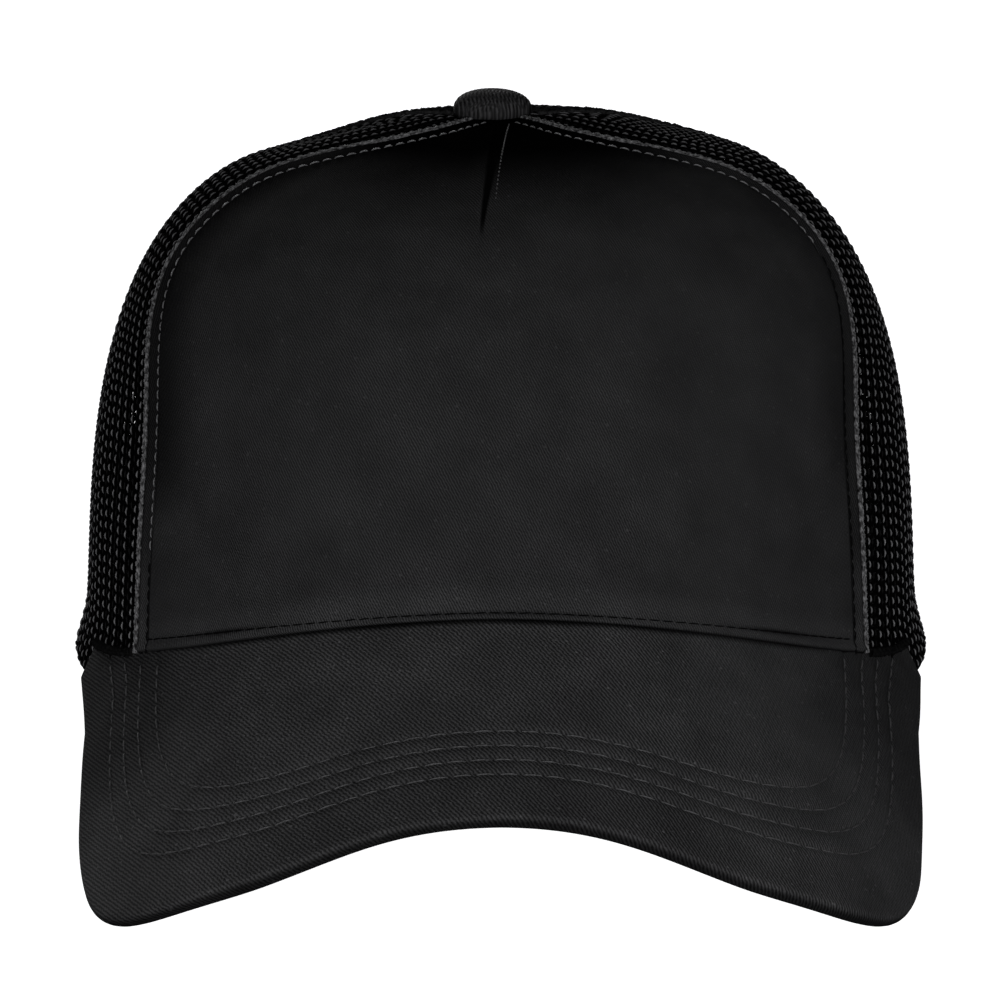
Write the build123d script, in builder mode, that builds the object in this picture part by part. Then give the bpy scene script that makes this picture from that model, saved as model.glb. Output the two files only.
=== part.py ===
"""A five-panel trucker cap: a stiff twill front panel, four mesh panels, a curved visor, a covered button,
a sweatband, and a two-piece snap strap across a half-moon opening at the back.

Frame: +Z up, the visor points to -Y, +X is the wearer's left. The origin is the centre of the head opening,
in the plane of the crown's lower edge. Millimetres.
"""

from build123d import *
from math import atan2, copysign, cos, degrees, exp, pi, radians, sin, sqrt, tan
import os

# Crown: half sizes at the lower edge, and the height of the top
CROWN_HALF_WIDTH = 84.0
CROWN_FRONT = 97.0
CROWN_BACK = 97.0
CROWN_HEIGHT = 110.0
PLAN_POWER = 2.1  # superellipse power of the plan: 2 is an ellipse, more is squarer
SIDE_POWER = 3.15  # the same for how each wall turns over into the top
FRONT_POWER = 2.7
BACK_POWER = 2.4
FLARE = 2.6  # the lower edge spreads by this much
FLARE_HEIGHT = 7.0
SKIRT = 12.0  # tool domes run this far below the lower edge

# Layers of the crown, as insets from its outer face, with a little room between soft pieces
CLEAR = 0.15
PANEL_IN = 0.9
BINDING_OUT = -0.6
BINDING_IN = 1.6
BINDING_CLOTH = 0.5
LINING_OUT = PANEL_IN + CLEAR
TAPE_IN = 1.65
BUCKRAM_IN = 1.9
BAND_OUT = BUCKRAM_IN + CLEAR
BAND_IN = 3.5

# Seams
FRONT_SEAM_AZIMUTH = 53.0  # degrees from the front, at the lower edge
SHOULDER_SWING = 15.0  # extra azimuth where the front seam crosses the shoulder
SHOULDER_HEIGHT = 90.0
SHOULDER_SPREAD = 24.0
TOP_SWING = 24.0  # the front seams turn forward by this much on their way to the button
TOP_SWING_START = 98.0
TOP_SWING_END = 109.5
REAR_SEAM_AZIMUTH = 120.0
TAPE_HALF_WIDTH = 5.0
TAPE_START = 14.0  # the tapes stop this far from the top centre
TAPE_BOTTOM = 4.0 + CLEAR  # and this far above the crown's lower edge
BUCKRAM_MARGIN = 6.0  # the buckram stops this far short of the front seams

# Visor: a flat outline bent round a cylinder, whose axis slopes down to the front
VISOR_RADIUS = 96.1
VISOR_SLOPE = 24.3
VISOR_ROOT_HEIGHT = 25.7  # top face at the crown, on the centre line
VISOR_END = 33.0  # how far in front of the centre the visor's ends lie
VISOR_WIDEST = -29.0  # along the slope from the root: where the corner curve starts
VISOR_HALF_WIDTH = 98.9  # measured round the bend
VISOR_REACH = 86.3  # from the widest place to the front edge
VISOR_SIDE_POWER = 5.6  # corner curve: the larger, the squarer
VISOR_FRONT_POWER = 3.0
VISOR_BACK_SPREAD = 5.0  # the sides spread by this much from the widest place back to VISOR_BACK
VISOR_BACK = -60.0
COVER = 0.65
BOARD = 1.6
HEM = 1.2  # the covers close round the board by this much

# Sweatband
BAND_HEIGHT = 32.0
BAND_OPENING_GAP = 4.0  # it stops this far short of the rear opening, on each side

# Rear opening and its binding
OPENING_HALF_WIDTH = 48.0
OPENING_STRAIGHT = 20.0
OPENING_ARCH = 28.0
BINDING_REACH = 7.0
BINDING_PROUD = 1.0

# Snap strap: two bands on one arc, which overlap in the middle of the opening
STRAP_RADIUS = 80.0  # halfway between the two bands
STRAP_CENTRE_Y = 14.9
STRAP_GAP = 0.2
STRAP_THICKNESS = 1.5
STRAP_LOW = 1.5
STRAP_WIDTH = 18.0
STRAP_OVERLAP = 26.0  # each band runs this far past the middle, round the arc
STRAP_CORNER = 6.0
HINGE_X = 44.0
SNAP_PITCH = 9.5
FIRST_SNAP = 19.0  # the snap nearest a free end, measured from the middle
SNAP_COUNT = 7
HOLE_RADIUS = 2.2
STUD_ROOT_RADIUS = 1.8
STUD_TIP_RADIUS = 1.0
STUD_HEIGHT = 2.2
STUD_ROOT_DEPTH = 0.3

# Bend line of each band, and the tab sewn to the crown
BEAD_RADIUS = 0.75
SEAT_RADIUS = 0.85
KNUCKLE_RADIUS = 1.6
NECK_THICKNESS = 0.6
NECK_LENGTH = 2.6
MOUTH_CLOSED = -30.0  # the seat is open from this angle to the next, away from the strap's line
MOUTH_OPEN = 108.0
TAB_END_X = 60.0
TAB_IN = 2.9
TAB_DRAW = 2.4
TAB_TOP = STRAP_LOW + STRAP_WIDTH

# Button
BUTTON_RADIUS = 7.75
BUTTON_HEIGHT = 5.3
BUTTON_EDGE = 1.4  # upright part of the rim
BUTTON_COVER = 0.6
BUTTON_SHELL = 0.6
BUTTON_BACK_GAP = 0.1  # between the back plate and the lining
STEM_RADIUS = 1.5
STEM_HOLE = 2.0
WASHER_RADIUS = 6.5
WASHER = 1.0

WIDE = 140.0  # tools reach this far, past the crown
BIG = 400.0
HALF_SECTION_STEPS = 8
OUTLINE_STEPS = 24


def roll_over(height, power):
    """Share of the base size that is left at a share of the height."""
    return (1 - height**power) ** (1 / power)


def crown_sizes(z, inset):
    """(half width, reach to the front, reach to the back) of the crown at a height."""
    top = CROWN_HEIGHT - inset
    share = min(max(z / top, 0.0), 1.0)
    spread = FLARE * exp(-max(z, 0.0) / FLARE_HEIGHT)
    return (
        (CROWN_HALF_WIDTH - inset) * roll_over(share, SIDE_POWER) + spread,
        (CROWN_FRONT - inset) * roll_over(share, FRONT_POWER) + spread,
        (CROWN_BACK - inset) * roll_over(share, BACK_POWER) + spread,
    )


def half_section(z, inset):
    """Points round the wearer's left half of the crown at a height, from the front to the back."""
    half_width, front, back = crown_sizes(z, inset)
    points = [(0.0, -front)]
    for i in range(1, HALF_SECTION_STEPS):
        angle = pi * i / HALF_SECTION_STEPS - pi / 2
        reach = back if angle > 0 else front
        x = half_width * cos(angle) ** (2 / PLAN_POWER)
        y = reach * copysign(abs(sin(angle)) ** (2 / PLAN_POWER), sin(angle))
        points.append((x, y))
    points.append((0.0, back))
    return points


def half_disc(z, inset):
    """The left half of the crown's section at a height, as a flat face."""
    points = half_section(z, inset)
    with BuildSketch(Plane.XY.offset(z)) as face:
        with BuildLine():
            Spline(*points, tangents=((1, 0), (-1, 0)), tangent_scalars=(1, 1))
            Line(points[-1], points[0])
        make_face()
    return face.sketch


def half_dome(inset):
    """The left half of the space inside the crown's outer face, moved in by inset.

    It runs SKIRT below the crown's lower edge."""
    shares = (0.0, 0.06, 0.16, 0.32, 0.5, 0.66, 0.79, 0.88, 0.94, 0.975, 0.993, 0.9995)
    with BuildPart() as solid:
        for share in shares:
            add(half_disc(share * (CROWN_HEIGHT - inset), inset))
        loft()
        extrude(half_disc(0, inset), amount=-SKIRT)
    return solid.part


def seam_azimuth(z):
    """Azimuth of the front seam at a height, in degrees from the front."""
    swing = exp(-(((z - SHOULDER_HEIGHT) / SHOULDER_SPREAD) ** 2))
    share = (z - TOP_SWING_START) / (TOP_SWING_END - TOP_SWING_START)
    forward = TOP_SWING * min(max(share, 0), 1) ** 3
    return FRONT_SEAM_AZIMUTH + SHOULDER_SWING * swing - forward


def front_sector(shift=0.0):
    """The part of the left half in front of the front seam. shift moves the seam back, square to itself."""
    with BuildPart() as sector:
        for z in (-SKIRT, 12.0, 30.0, 46.0, 60.0, 72.0, 82.0, 90.0, 98.0, 102.0, 105.0, 107.5, 109.5, 114.0):
            azimuth = radians(seam_azimuth(z))
            corner = shift / sin(azimuth)
            side = (WIDE * sin(azimuth), corner - WIDE * cos(azimuth))
            with BuildSketch(Plane.XY.offset(z)):
                with BuildLine():
                    Polyline((0, corner), side, (0, -2 * WIDE), close=True)
                make_face()
        loft()
    return sector.part


def slab(azimuth, half_width):
    """A thin upright half slab from the centre axis outwards, at an azimuth from the front."""
    with BuildPart() as wall:
        with BuildSketch(Plane.XY.offset(-SKIRT)):
            Rectangle(WIDE, 2 * half_width, align=(Align.MIN, Align.CENTER), rotation=azimuth - 90)
        extrude(amount=WIDE)
    return wall.part


def box_between(x, y, z):
    """A box given by its (low, high) pairs."""
    with BuildPart() as box:
        with Locations((sum(x) / 2, sum(y) / 2, sum(z) / 2)):
            Box(x[1] - x[0], y[1] - y[0], z[1] - z[0])
    return box.part


# The visor's own frame: x across, y square to the cloth at the centre line, z down the slope
VISOR_PLANE = Plane(
    origin=(0, -crown_sizes(0, 0)[1], VISOR_ROOT_HEIGHT),
    x_dir=(1, 0, 0),
    z_dir=(0, -cos(radians(VISOR_SLOPE)), -sin(radians(VISOR_SLOPE))),
)
VISOR_TALL = Plane(origin=VISOR_PLANE.origin, x_dir=(1, 0, 0), z_dir=VISOR_PLANE.y_dir)


def visor_cylinder(depth, lift=0.0):
    """Everything below the visor's face at a depth under its top, in front of the visor's ends."""
    start = Plane(origin=VISOR_PLANE.origin + Vector(0, 0, lift), x_dir=(1, 0, 0), z_dir=VISOR_PLANE.z_dir)
    with BuildPart() as below:
        with BuildSketch(start.offset(VISOR_BACK * 2)):
            with Locations((0, -VISOR_RADIUS)):
                Circle(VISOR_RADIUS - depth)
        extrude(amount=BIG)
        add(box_between((-BIG, BIG), (-VISOR_END, BIG), (-BIG, BIG)), mode=Mode.SUBTRACT)
    return below.part


def visor_outline(inset):
    """Points (round the bend, down the slope) of the visor's free edge, from one back corner to the other."""
    half_width = VISOR_HALF_WIDTH - inset
    reach = VISOR_REACH - inset
    points = []
    for i in range(OUTLINE_STEPS + 1):
        angle = pi * i / OUTLINE_STEPS
        across = half_width * copysign(abs(cos(angle)) ** (2 / VISOR_SIDE_POWER), cos(angle))
        points.append((across, VISOR_WIDEST + reach * sin(angle) ** (2 / VISOR_FRONT_POWER)))
    return points


def visor_edge_tool(inset):
    """The visor's outline as a solid whose sides are square to the bent cloth everywhere."""
    spread = VISOR_HALF_WIDTH + VISOR_BACK_SPREAD - inset
    outline = visor_outline(inset)
    with BuildPart() as tool:
        for height in (0.4 * VISOR_RADIUS, 1.1 * VISOR_RADIUS):
            points = [(height * tan(s / VISOR_RADIUS), -u) for s, u in outline]
            back = (height * tan(spread / VISOR_RADIUS), -VISOR_BACK)
            with BuildSketch(VISOR_TALL.offset(height - VISOR_RADIUS)):
                with BuildLine():
                    Spline(*points)
                    Polyline(points[-1], (-back[0], back[1]), back, points[0])
                make_face()
        loft(ruled=True)
    return tool.part


def strap_plane(along, radius):
    """A plane square to the strap's arc, this far round it from the middle: z outwards, y up."""
    turn = along / STRAP_RADIUS
    place = (radius * sin(turn), STRAP_CENTRE_Y + radius * cos(turn), STRAP_LOW + STRAP_WIDTH / 2)
    return Plane(origin=place, x_dir=(-cos(turn), sin(turn), 0), z_dir=(sin(turn), cos(turn), 0))


def hinge_point(radius, side):
    """Where a band of the strap bends, in plan."""
    return (side * HINGE_X, STRAP_CENTRE_Y + sqrt(radius**2 - HINGE_X**2))


def plain_strap(radius, side):
    """A band with its bead and neck, hinged on one side and ending past the middle.

    radius is at mid thickness."""
    bend = hinge_point(radius, side)
    root = atan2(bend[0], bend[1] - STRAP_CENTRE_Y)
    neck_end = root - side * NECK_LENGTH / radius
    tip = -side * STRAP_OVERLAP / STRAP_RADIUS

    def arc_point(turn, reach):
        return (reach * sin(turn), STRAP_CENTRE_Y + reach * cos(turn))

    inner = radius - STRAP_THICKNESS / 2
    outer = radius + STRAP_THICKNESS / 2
    middle = (neck_end + tip) / 2
    with BuildPart() as strap:
        with BuildSketch(Plane.XY.offset(STRAP_LOW)):
            with BuildLine():
                ThreePointArc(arc_point(neck_end, inner), arc_point(middle, inner), arc_point(tip, inner))
                Line(arc_point(tip, inner), arc_point(tip, outer))
                ThreePointArc(arc_point(tip, outer), arc_point(middle, outer), arc_point(neck_end, outer))
                Line(arc_point(neck_end, outer), arc_point(neck_end, inner))
            make_face()
        extrude(amount=STRAP_WIDTH)
        ends = strap.edges().filter_by(lambda e: abs(e.length - STRAP_THICKNESS) < 0.01)
        free_end = ends.sort_by(lambda e: side * e.center().X)[:2]
        fillet(free_end, radius=STRAP_CORNER)
        with BuildSketch(Plane.XY.offset(STRAP_LOW)):
            with BuildLine():
                Line(bend, arc_point(neck_end - side * 0.01, radius))
            trace(line_width=NECK_THICKNESS)
            with Locations(bend):
                Circle(BEAD_RADIUS)
        extrude(amount=STRAP_WIDTH)
    return strap.part


def strap_tab(radius, side, swing):
    """The tab that is sewn inside the crown, with the seat the band bends in.

    swing is +1 outwards, -1 inwards."""
    bend = hinge_point(radius, side)
    rise = bend[1] - STRAP_CENTRE_Y
    line_angle = degrees(atan2(side * bend[0], -side * rise))
    first = line_angle - side * swing * MOUTH_CLOSED
    last = line_angle - side * swing * MOUTH_OPEN
    mouth = [bend]
    for share in (0.0, 0.25, 0.5, 0.75, 1.0):
        angle = radians(first + share * (last - first))
        reach = 2 * KNUCKLE_RADIUS
        mouth.append((bend[0] + reach * cos(angle), bend[1] + reach * sin(angle)))
    span = sorted((side * HINGE_X, side * TAB_END_X))
    with BuildPart() as tab:
        add(half_dome(BINDING_IN + CLEAR))
        extrude(half_disc(0, TAB_IN).moved(Location((0, -TAB_DRAW, 0))), amount=BIG, mode=Mode.SUBTRACT)
        if side < 0:
            mirror(about=Plane.YZ, mode=Mode.REPLACE)
        add(box_between(span, (0, BIG), (STRAP_LOW, TAB_TOP)), mode=Mode.INTERSECT)
        with BuildSketch(Plane.XY.offset(STRAP_LOW)):
            with Locations(bend):
                Circle(KNUCKLE_RADIUS)
        extrude(amount=STRAP_WIDTH)
        with BuildSketch(Plane.XY):
            with Locations(bend):
                Circle(SEAT_RADIUS)
            with BuildLine():
                Polyline(*mouth, close=True)
            make_face()
        extrude(amount=BIG, mode=Mode.SUBTRACT)
    return tab.part


# ---------------------------------------------------------------- tools shared by the crown pieces

DOME_OUT = half_dome(0.0)
DOME_PANEL = half_dome(PANEL_IN)
DOME_LINING = half_dome(LINING_OUT)
DOME_BAND = half_dome(BAND_OUT)
BELOW_VISOR = visor_cylinder(0.0)
VISOR_THICKNESS = COVER + BOARD + COVER
UNDER_VISOR = visor_cylinder(VISOR_THICKNESS)
ABOVE_BASE = box_between((-BIG, BIG), (-BIG, BIG), (0, BIG))


def opening_tool(grow):
    """The rear opening as a solid through the back wall, made larger all round by grow."""
    half_width = OPENING_HALF_WIDTH + grow
    with BuildPart() as hole:
        with BuildSketch(Plane.XZ):
            with BuildLine():
                Polyline(
                    (-half_width, OPENING_STRAIGHT),
                    (-half_width, -SKIRT),
                    (half_width, -SKIRT),
                    (half_width, OPENING_STRAIGHT),
                )
                EllipticalCenterArc((0, OPENING_STRAIGHT), half_width, OPENING_ARCH + grow, arc_size=180)
            make_face()
        extrude(amount=-BIG)
    return hole.part


def behind_plane(azimuth, shift):
    """Everything in the left half behind an upright plane through the centre axis, moved back by shift."""
    angle = radians(azimuth)
    start = (shift * cos(angle), shift * sin(angle))
    with BuildPart() as part:
        with BuildSketch(Plane.XY.offset(-SKIRT)):
            with Locations(start):
                Rectangle(BIG, BIG, align=(Align.CENTER, Align.MIN), rotation=azimuth - 90)
        extrude(amount=BIG)
    return part.part


with BuildPart() as half_crown:
    add(DOME_OUT)
    add(ABOVE_BASE, mode=Mode.INTERSECT)
    add(DOME_PANEL, mode=Mode.SUBTRACT)
    add(BELOW_VISOR, mode=Mode.SUBTRACT)
    with BuildSketch(Plane.XY.offset(CROWN_HEIGHT / 2)):
        Circle(STEM_HOLE)
    extrude(amount=CROWN_HEIGHT, mode=Mode.SUBTRACT)

# ---------------------------------------------------------------- crown panels

with BuildPart() as front_panel:
    add(half_crown.part)
    add(front_sector(-CLEAR / 2), mode=Mode.INTERSECT)
    mirror(about=Plane.YZ)

with BuildPart() as side_mesh_left:
    add(half_crown.part)
    add(front_sector(CLEAR / 2), mode=Mode.SUBTRACT)
    add(behind_plane(REAR_SEAM_AZIMUTH, -CLEAR / 2), mode=Mode.SUBTRACT)

with BuildPart() as side_mesh_right:
    mirror(side_mesh_left.part, about=Plane.YZ)

with BuildPart() as rear_mesh_left:
    add(half_crown.part)
    add(behind_plane(REAR_SEAM_AZIMUTH, CLEAR / 2), mode=Mode.INTERSECT)
    add(box_between((-BIG, CLEAR / 2), (-BIG, BIG), (-BIG, BIG)), mode=Mode.SUBTRACT)
    add(opening_tool(0.0), mode=Mode.SUBTRACT)

with BuildPart() as rear_mesh_right:
    mirror(rear_mesh_left.part, about=Plane.YZ)

with BuildPart() as front_buckram:
    add(DOME_LINING)
    add(front_sector(-BUCKRAM_MARGIN), mode=Mode.INTERSECT)
    add(BELOW_VISOR, mode=Mode.SUBTRACT)
    add(half_dome(BUCKRAM_IN), mode=Mode.SUBTRACT)
    mirror(about=Plane.YZ)

# ---------------------------------------------------------------- tapes over the seams, inside

with BuildPart() as tape_layer:
    add(DOME_LINING)
    add(box_between((-BIG, BIG), (-BIG, BIG), (TAPE_BOTTOM, BIG)), mode=Mode.INTERSECT)
    with BuildSketch(Plane.XY):
        Circle(TAPE_START)
    extrude(amount=BIG, mode=Mode.SUBTRACT)
    add(half_dome(TAPE_IN), mode=Mode.SUBTRACT)

with BuildPart() as front_seam_tape_left:
    add(tape_layer.part)
    add(front_sector(TAPE_HALF_WIDTH), mode=Mode.INTERSECT)
    add(front_sector(-TAPE_HALF_WIDTH), mode=Mode.SUBTRACT)
    add(BELOW_VISOR, mode=Mode.SUBTRACT)

with BuildPart() as front_seam_tape_right:
    mirror(front_seam_tape_left.part, about=Plane.YZ)

with BuildPart() as side_seam_tape_left:
    add(tape_layer.part)
    add(slab(REAR_SEAM_AZIMUTH, TAPE_HALF_WIDTH), mode=Mode.INTERSECT)

with BuildPart() as side_seam_tape_right:
    mirror(side_seam_tape_left.part, about=Plane.YZ)

with BuildPart() as back_seam_tape:
    add(tape_layer.part)
    add(slab(180, TAPE_HALF_WIDTH), mode=Mode.INTERSECT)
    add(opening_tool(BINDING_REACH), mode=Mode.SUBTRACT)
    mirror(about=Plane.YZ)

# ---------------------------------------------------------------- rear opening: folded binding

with BuildPart() as binding_slot:
    add(half_dome(BINDING_OUT + BINDING_CLOTH))
    add(half_dome(BINDING_IN - BINDING_CLOTH), mode=Mode.SUBTRACT)
    add(opening_tool(-CLEAR), mode=Mode.SUBTRACT)

with BuildPart() as opening_binding:
    add(half_dome(BINDING_OUT))
    add(ABOVE_BASE, mode=Mode.INTERSECT)
    add(opening_tool(BINDING_REACH), mode=Mode.INTERSECT)
    add(opening_tool(-BINDING_PROUD), mode=Mode.SUBTRACT)
    add(half_dome(BINDING_IN), mode=Mode.SUBTRACT)
    add(binding_slot.part, mode=Mode.SUBTRACT)
    mirror(about=Plane.YZ)

# ---------------------------------------------------------------- strap

HOLED_RADIUS = STRAP_RADIUS + (STRAP_GAP + STRAP_THICKNESS) / 2
STUD_RADIUS = STRAP_RADIUS - (STRAP_GAP + STRAP_THICKNESS) / 2
CONE_TAPER = degrees(atan2(STUD_ROOT_RADIUS - STUD_TIP_RADIUS, STUD_HEIGHT))

with BuildPart() as holed_strap:
    add(plain_strap(HOLED_RADIUS, 1))
    for i in range(SNAP_COUNT):
        with BuildSketch(strap_plane(SNAP_PITCH * i - FIRST_SNAP, HOLED_RADIUS - STRAP_THICKNESS)):
            Circle(HOLE_RADIUS)
        extrude(amount=2 * STRAP_THICKNESS, mode=Mode.SUBTRACT)

with BuildPart() as stud_strap:
    add(plain_strap(STUD_RADIUS, -1))
    for i in range(SNAP_COUNT):
        face = strap_plane(FIRST_SNAP - SNAP_PITCH * i, STUD_RADIUS + STRAP_THICKNESS / 2)
        with BuildSketch(face.offset(-STUD_ROOT_DEPTH)):
            Circle(STUD_ROOT_RADIUS)
        extrude(amount=STUD_ROOT_DEPTH)
        with BuildSketch(face):
            Circle(STUD_ROOT_RADIUS)
        extrude(amount=STUD_HEIGHT, taper=CONE_TAPER)

with BuildPart() as strap_tab_left:
    add(strap_tab(HOLED_RADIUS, 1, 1))

with BuildPart() as strap_tab_right:
    add(strap_tab(STUD_RADIUS, -1, -1))

# ---------------------------------------------------------------- sweatband

BAND_GAP_X = OPENING_HALF_WIDTH + BAND_OPENING_GAP

with BuildPart() as rear_band_room:
    add(box_between((-BIG, BIG), (-VISOR_END, BIG), (0, BAND_HEIGHT)))
    add(box_between((-BAND_GAP_X, BAND_GAP_X), (0, BIG), (-BIG, BIG)), mode=Mode.SUBTRACT)

with BuildPart() as band_room:
    add(visor_cylinder(VISOR_THICKNESS, BAND_HEIGHT))
    add(UNDER_VISOR, mode=Mode.SUBTRACT)
    add(box_between((-BIG, BIG), (-BIG, BIG), (-VISOR_THICKNESS, BIG)), mode=Mode.INTERSECT)
    add(rear_band_room.part)

with BuildPart() as sweatband:
    add(DOME_BAND)
    add(band_room.part, mode=Mode.INTERSECT)
    add(half_dome(BAND_IN), mode=Mode.SUBTRACT)
    mirror(about=Plane.YZ)
    for tab in (strap_tab_left.part, strap_tab_right.part):
        around = tab.bounding_box()
        low = around.min - Vector(CLEAR, CLEAR, CLEAR)
        high = around.max + Vector(CLEAR, CLEAR, CLEAR)
        add(box_between((low.X, high.X), (low.Y, high.Y), (low.Z, high.Z)), mode=Mode.SUBTRACT)

# ---------------------------------------------------------------- visor

with BuildPart() as visor_envelope:
    add(visor_cylinder(0.0))
    add(UNDER_VISOR, mode=Mode.SUBTRACT)
    add(visor_edge_tool(0.0), mode=Mode.INTERSECT)
    add(box_between((-BIG, 0), (-BIG, BIG), (-BIG, BIG)), mode=Mode.SUBTRACT)
    add(half_dome(BUCKRAM_IN), mode=Mode.SUBTRACT)

with BuildPart() as visor_board:
    add(visor_cylinder(COVER + CLEAR / 3))
    add(visor_cylinder(COVER + BOARD - CLEAR / 3), mode=Mode.SUBTRACT)
    add(visor_edge_tool(HEM + CLEAR / 3), mode=Mode.INTERSECT)
    add(box_between((-BIG, 0), (-BIG, BIG), (-BIG, BIG)), mode=Mode.SUBTRACT)
    add(half_dome(BUCKRAM_IN), mode=Mode.SUBTRACT)
    mirror(about=Plane.YZ)

with BuildPart() as visor_core:
    add(visor_cylinder(COVER))
    add(visor_cylinder(COVER + BOARD), mode=Mode.SUBTRACT)
    add(visor_edge_tool(HEM), mode=Mode.INTERSECT)

with BuildPart() as visor_top_cover:
    add(visor_envelope.part)
    add(visor_cylinder(VISOR_THICKNESS / 2 - CLEAR / 3), mode=Mode.SUBTRACT)
    add(visor_core.part, mode=Mode.SUBTRACT)
    mirror(about=Plane.YZ)

with BuildPart() as visor_bottom_cover:
    add(visor_envelope.part)
    add(visor_cylinder(VISOR_THICKNESS / 2 + CLEAR / 3), mode=Mode.INTERSECT)
    add(visor_core.part, mode=Mode.SUBTRACT)
    mirror(about=Plane.YZ)

# ---------------------------------------------------------------- button


def button_dome(radius, top):
    """A low dome with an upright rim, standing on the crown."""
    with BuildPart() as solid:
        with BuildSketch(Plane.XZ):
            with BuildLine():
                Line((0, CROWN_HEIGHT), (radius, CROWN_HEIGHT))
                Line((radius, CROWN_HEIGHT), (radius, CROWN_HEIGHT + BUTTON_EDGE))
                Spline(
                    (radius, CROWN_HEIGHT + BUTTON_EDGE),
                    (0, CROWN_HEIGHT + top),
                    tangents=((0, 1), (-1, 0)),
                )
                Line((0, CROWN_HEIGHT + top), (0, CROWN_HEIGHT))
            make_face()
        revolve(axis=Axis.Z)
    return solid.part


SHELL_TOP = BUTTON_HEIGHT - BUTTON_COVER
CAVITY_TOP = SHELL_TOP - BUTTON_SHELL

with BuildPart() as button_cover:
    add(button_dome(BUTTON_RADIUS, BUTTON_HEIGHT))
    add(button_dome(BUTTON_RADIUS - BUTTON_COVER, SHELL_TOP), mode=Mode.SUBTRACT)

with BuildPart() as button_shell:
    add(button_dome(BUTTON_RADIUS - BUTTON_COVER, SHELL_TOP))
    with BuildSketch(Plane.XY.offset(CROWN_HEIGHT)):
        Circle(STEM_RADIUS)
    extrude(amount=CAVITY_TOP, mode=Mode.SUBTRACT)

WASHER_TOP = CROWN_HEIGHT - BAND_OUT - BUTTON_BACK_GAP

with BuildPart() as button_back:
    with BuildSketch(Plane.XY.offset(WASHER_TOP - WASHER)):
        Circle(WASHER_RADIUS)
    extrude(amount=WASHER)
    with BuildSketch(Plane.XY.offset(WASHER_TOP)):
        Circle(STEM_RADIUS)
    extrude(amount=CROWN_HEIGHT + CAVITY_TOP - WASHER_TOP)

# ---------------------------------------------------------------- one file for each piece

os.makedirs("parts", exist_ok=True)

front_panel.part.label = "front_panel"
export_step(front_panel.part, "parts/front_panel.step")

front_buckram.part.label = "front_buckram"
export_step(front_buckram.part, "parts/front_buckram.step")

side_mesh_left.part.label = "side_mesh_left"
export_step(side_mesh_left.part, "parts/side_mesh_left.step")

side_mesh_right.part.label = "side_mesh_right"
export_step(side_mesh_right.part, "parts/side_mesh_right.step")

rear_mesh_left.part.label = "rear_mesh_left"
export_step(rear_mesh_left.part, "parts/rear_mesh_left.step")

rear_mesh_right.part.label = "rear_mesh_right"
export_step(rear_mesh_right.part, "parts/rear_mesh_right.step")

front_seam_tape_left.part.label = "front_seam_tape_left"
export_step(front_seam_tape_left.part, "parts/front_seam_tape_left.step")

front_seam_tape_right.part.label = "front_seam_tape_right"
export_step(front_seam_tape_right.part, "parts/front_seam_tape_right.step")

side_seam_tape_left.part.label = "side_seam_tape_left"
export_step(side_seam_tape_left.part, "parts/side_seam_tape_left.step")

side_seam_tape_right.part.label = "side_seam_tape_right"
export_step(side_seam_tape_right.part, "parts/side_seam_tape_right.step")

back_seam_tape.part.label = "back_seam_tape"
export_step(back_seam_tape.part, "parts/back_seam_tape.step")

opening_binding.part.label = "opening_binding"
export_step(opening_binding.part, "parts/opening_binding.step")

strap_tab_left.part.label = "strap_tab_left"
export_step(strap_tab_left.part, "parts/strap_tab_left.step")

strap_tab_right.part.label = "strap_tab_right"
export_step(strap_tab_right.part, "parts/strap_tab_right.step")

holed_strap.part.label = "holed_strap"
export_step(holed_strap.part, "parts/holed_strap.step")

stud_strap.part.label = "stud_strap"
export_step(stud_strap.part, "parts/stud_strap.step")

sweatband.part.label = "sweatband"
export_step(sweatband.part, "parts/sweatband.step")

visor_top_cover.part.label = "visor_top_cover"
export_step(visor_top_cover.part, "parts/visor_top_cover.step")

visor_board.part.label = "visor_board"
export_step(visor_board.part, "parts/visor_board.step")

visor_bottom_cover.part.label = "visor_bottom_cover"
export_step(visor_bottom_cover.part, "parts/visor_bottom_cover.step")

button_cover.part.label = "button_cover"
export_step(button_cover.part, "parts/button_cover.step")

button_shell.part.label = "button_shell"
export_step(button_shell.part, "parts/button_shell.step")

button_back.part.label = "button_back"
export_step(button_back.part, "parts/button_back.step")
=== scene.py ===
import math

import bpy
import numpy as np
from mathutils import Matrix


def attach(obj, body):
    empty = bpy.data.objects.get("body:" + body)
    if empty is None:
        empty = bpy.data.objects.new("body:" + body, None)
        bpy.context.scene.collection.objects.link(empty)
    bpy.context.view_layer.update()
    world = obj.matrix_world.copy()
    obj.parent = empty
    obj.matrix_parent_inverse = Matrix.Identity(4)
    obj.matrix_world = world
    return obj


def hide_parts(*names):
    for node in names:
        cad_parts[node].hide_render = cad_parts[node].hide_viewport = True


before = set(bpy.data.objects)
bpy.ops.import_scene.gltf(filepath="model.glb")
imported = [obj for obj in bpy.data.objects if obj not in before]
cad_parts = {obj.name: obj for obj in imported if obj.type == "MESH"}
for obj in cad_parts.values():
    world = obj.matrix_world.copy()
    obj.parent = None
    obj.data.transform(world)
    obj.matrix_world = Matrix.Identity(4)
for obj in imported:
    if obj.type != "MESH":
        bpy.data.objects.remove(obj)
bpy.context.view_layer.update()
rng = np.random.default_rng(7)
MM = 0.001

# ------------------------------------------------------------------ the crown's shape, in millimetres
HALF_WIDTH, FRONT, BACK, HEIGHT = 84.0, 97.0, 97.0, 110.0
PLAN_POWER = 2.1
SIDE_POWER, FRONT_POWER, BACK_POWER = 3.15, 2.7, 2.4
FLARE, FLARE_HEIGHT = 2.6, 7.0
LEVEL_POWER = 2.7


def level_height(phi):
    return HEIGHT * np.sin(phi) ** (2 / LEVEL_POWER)


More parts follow.
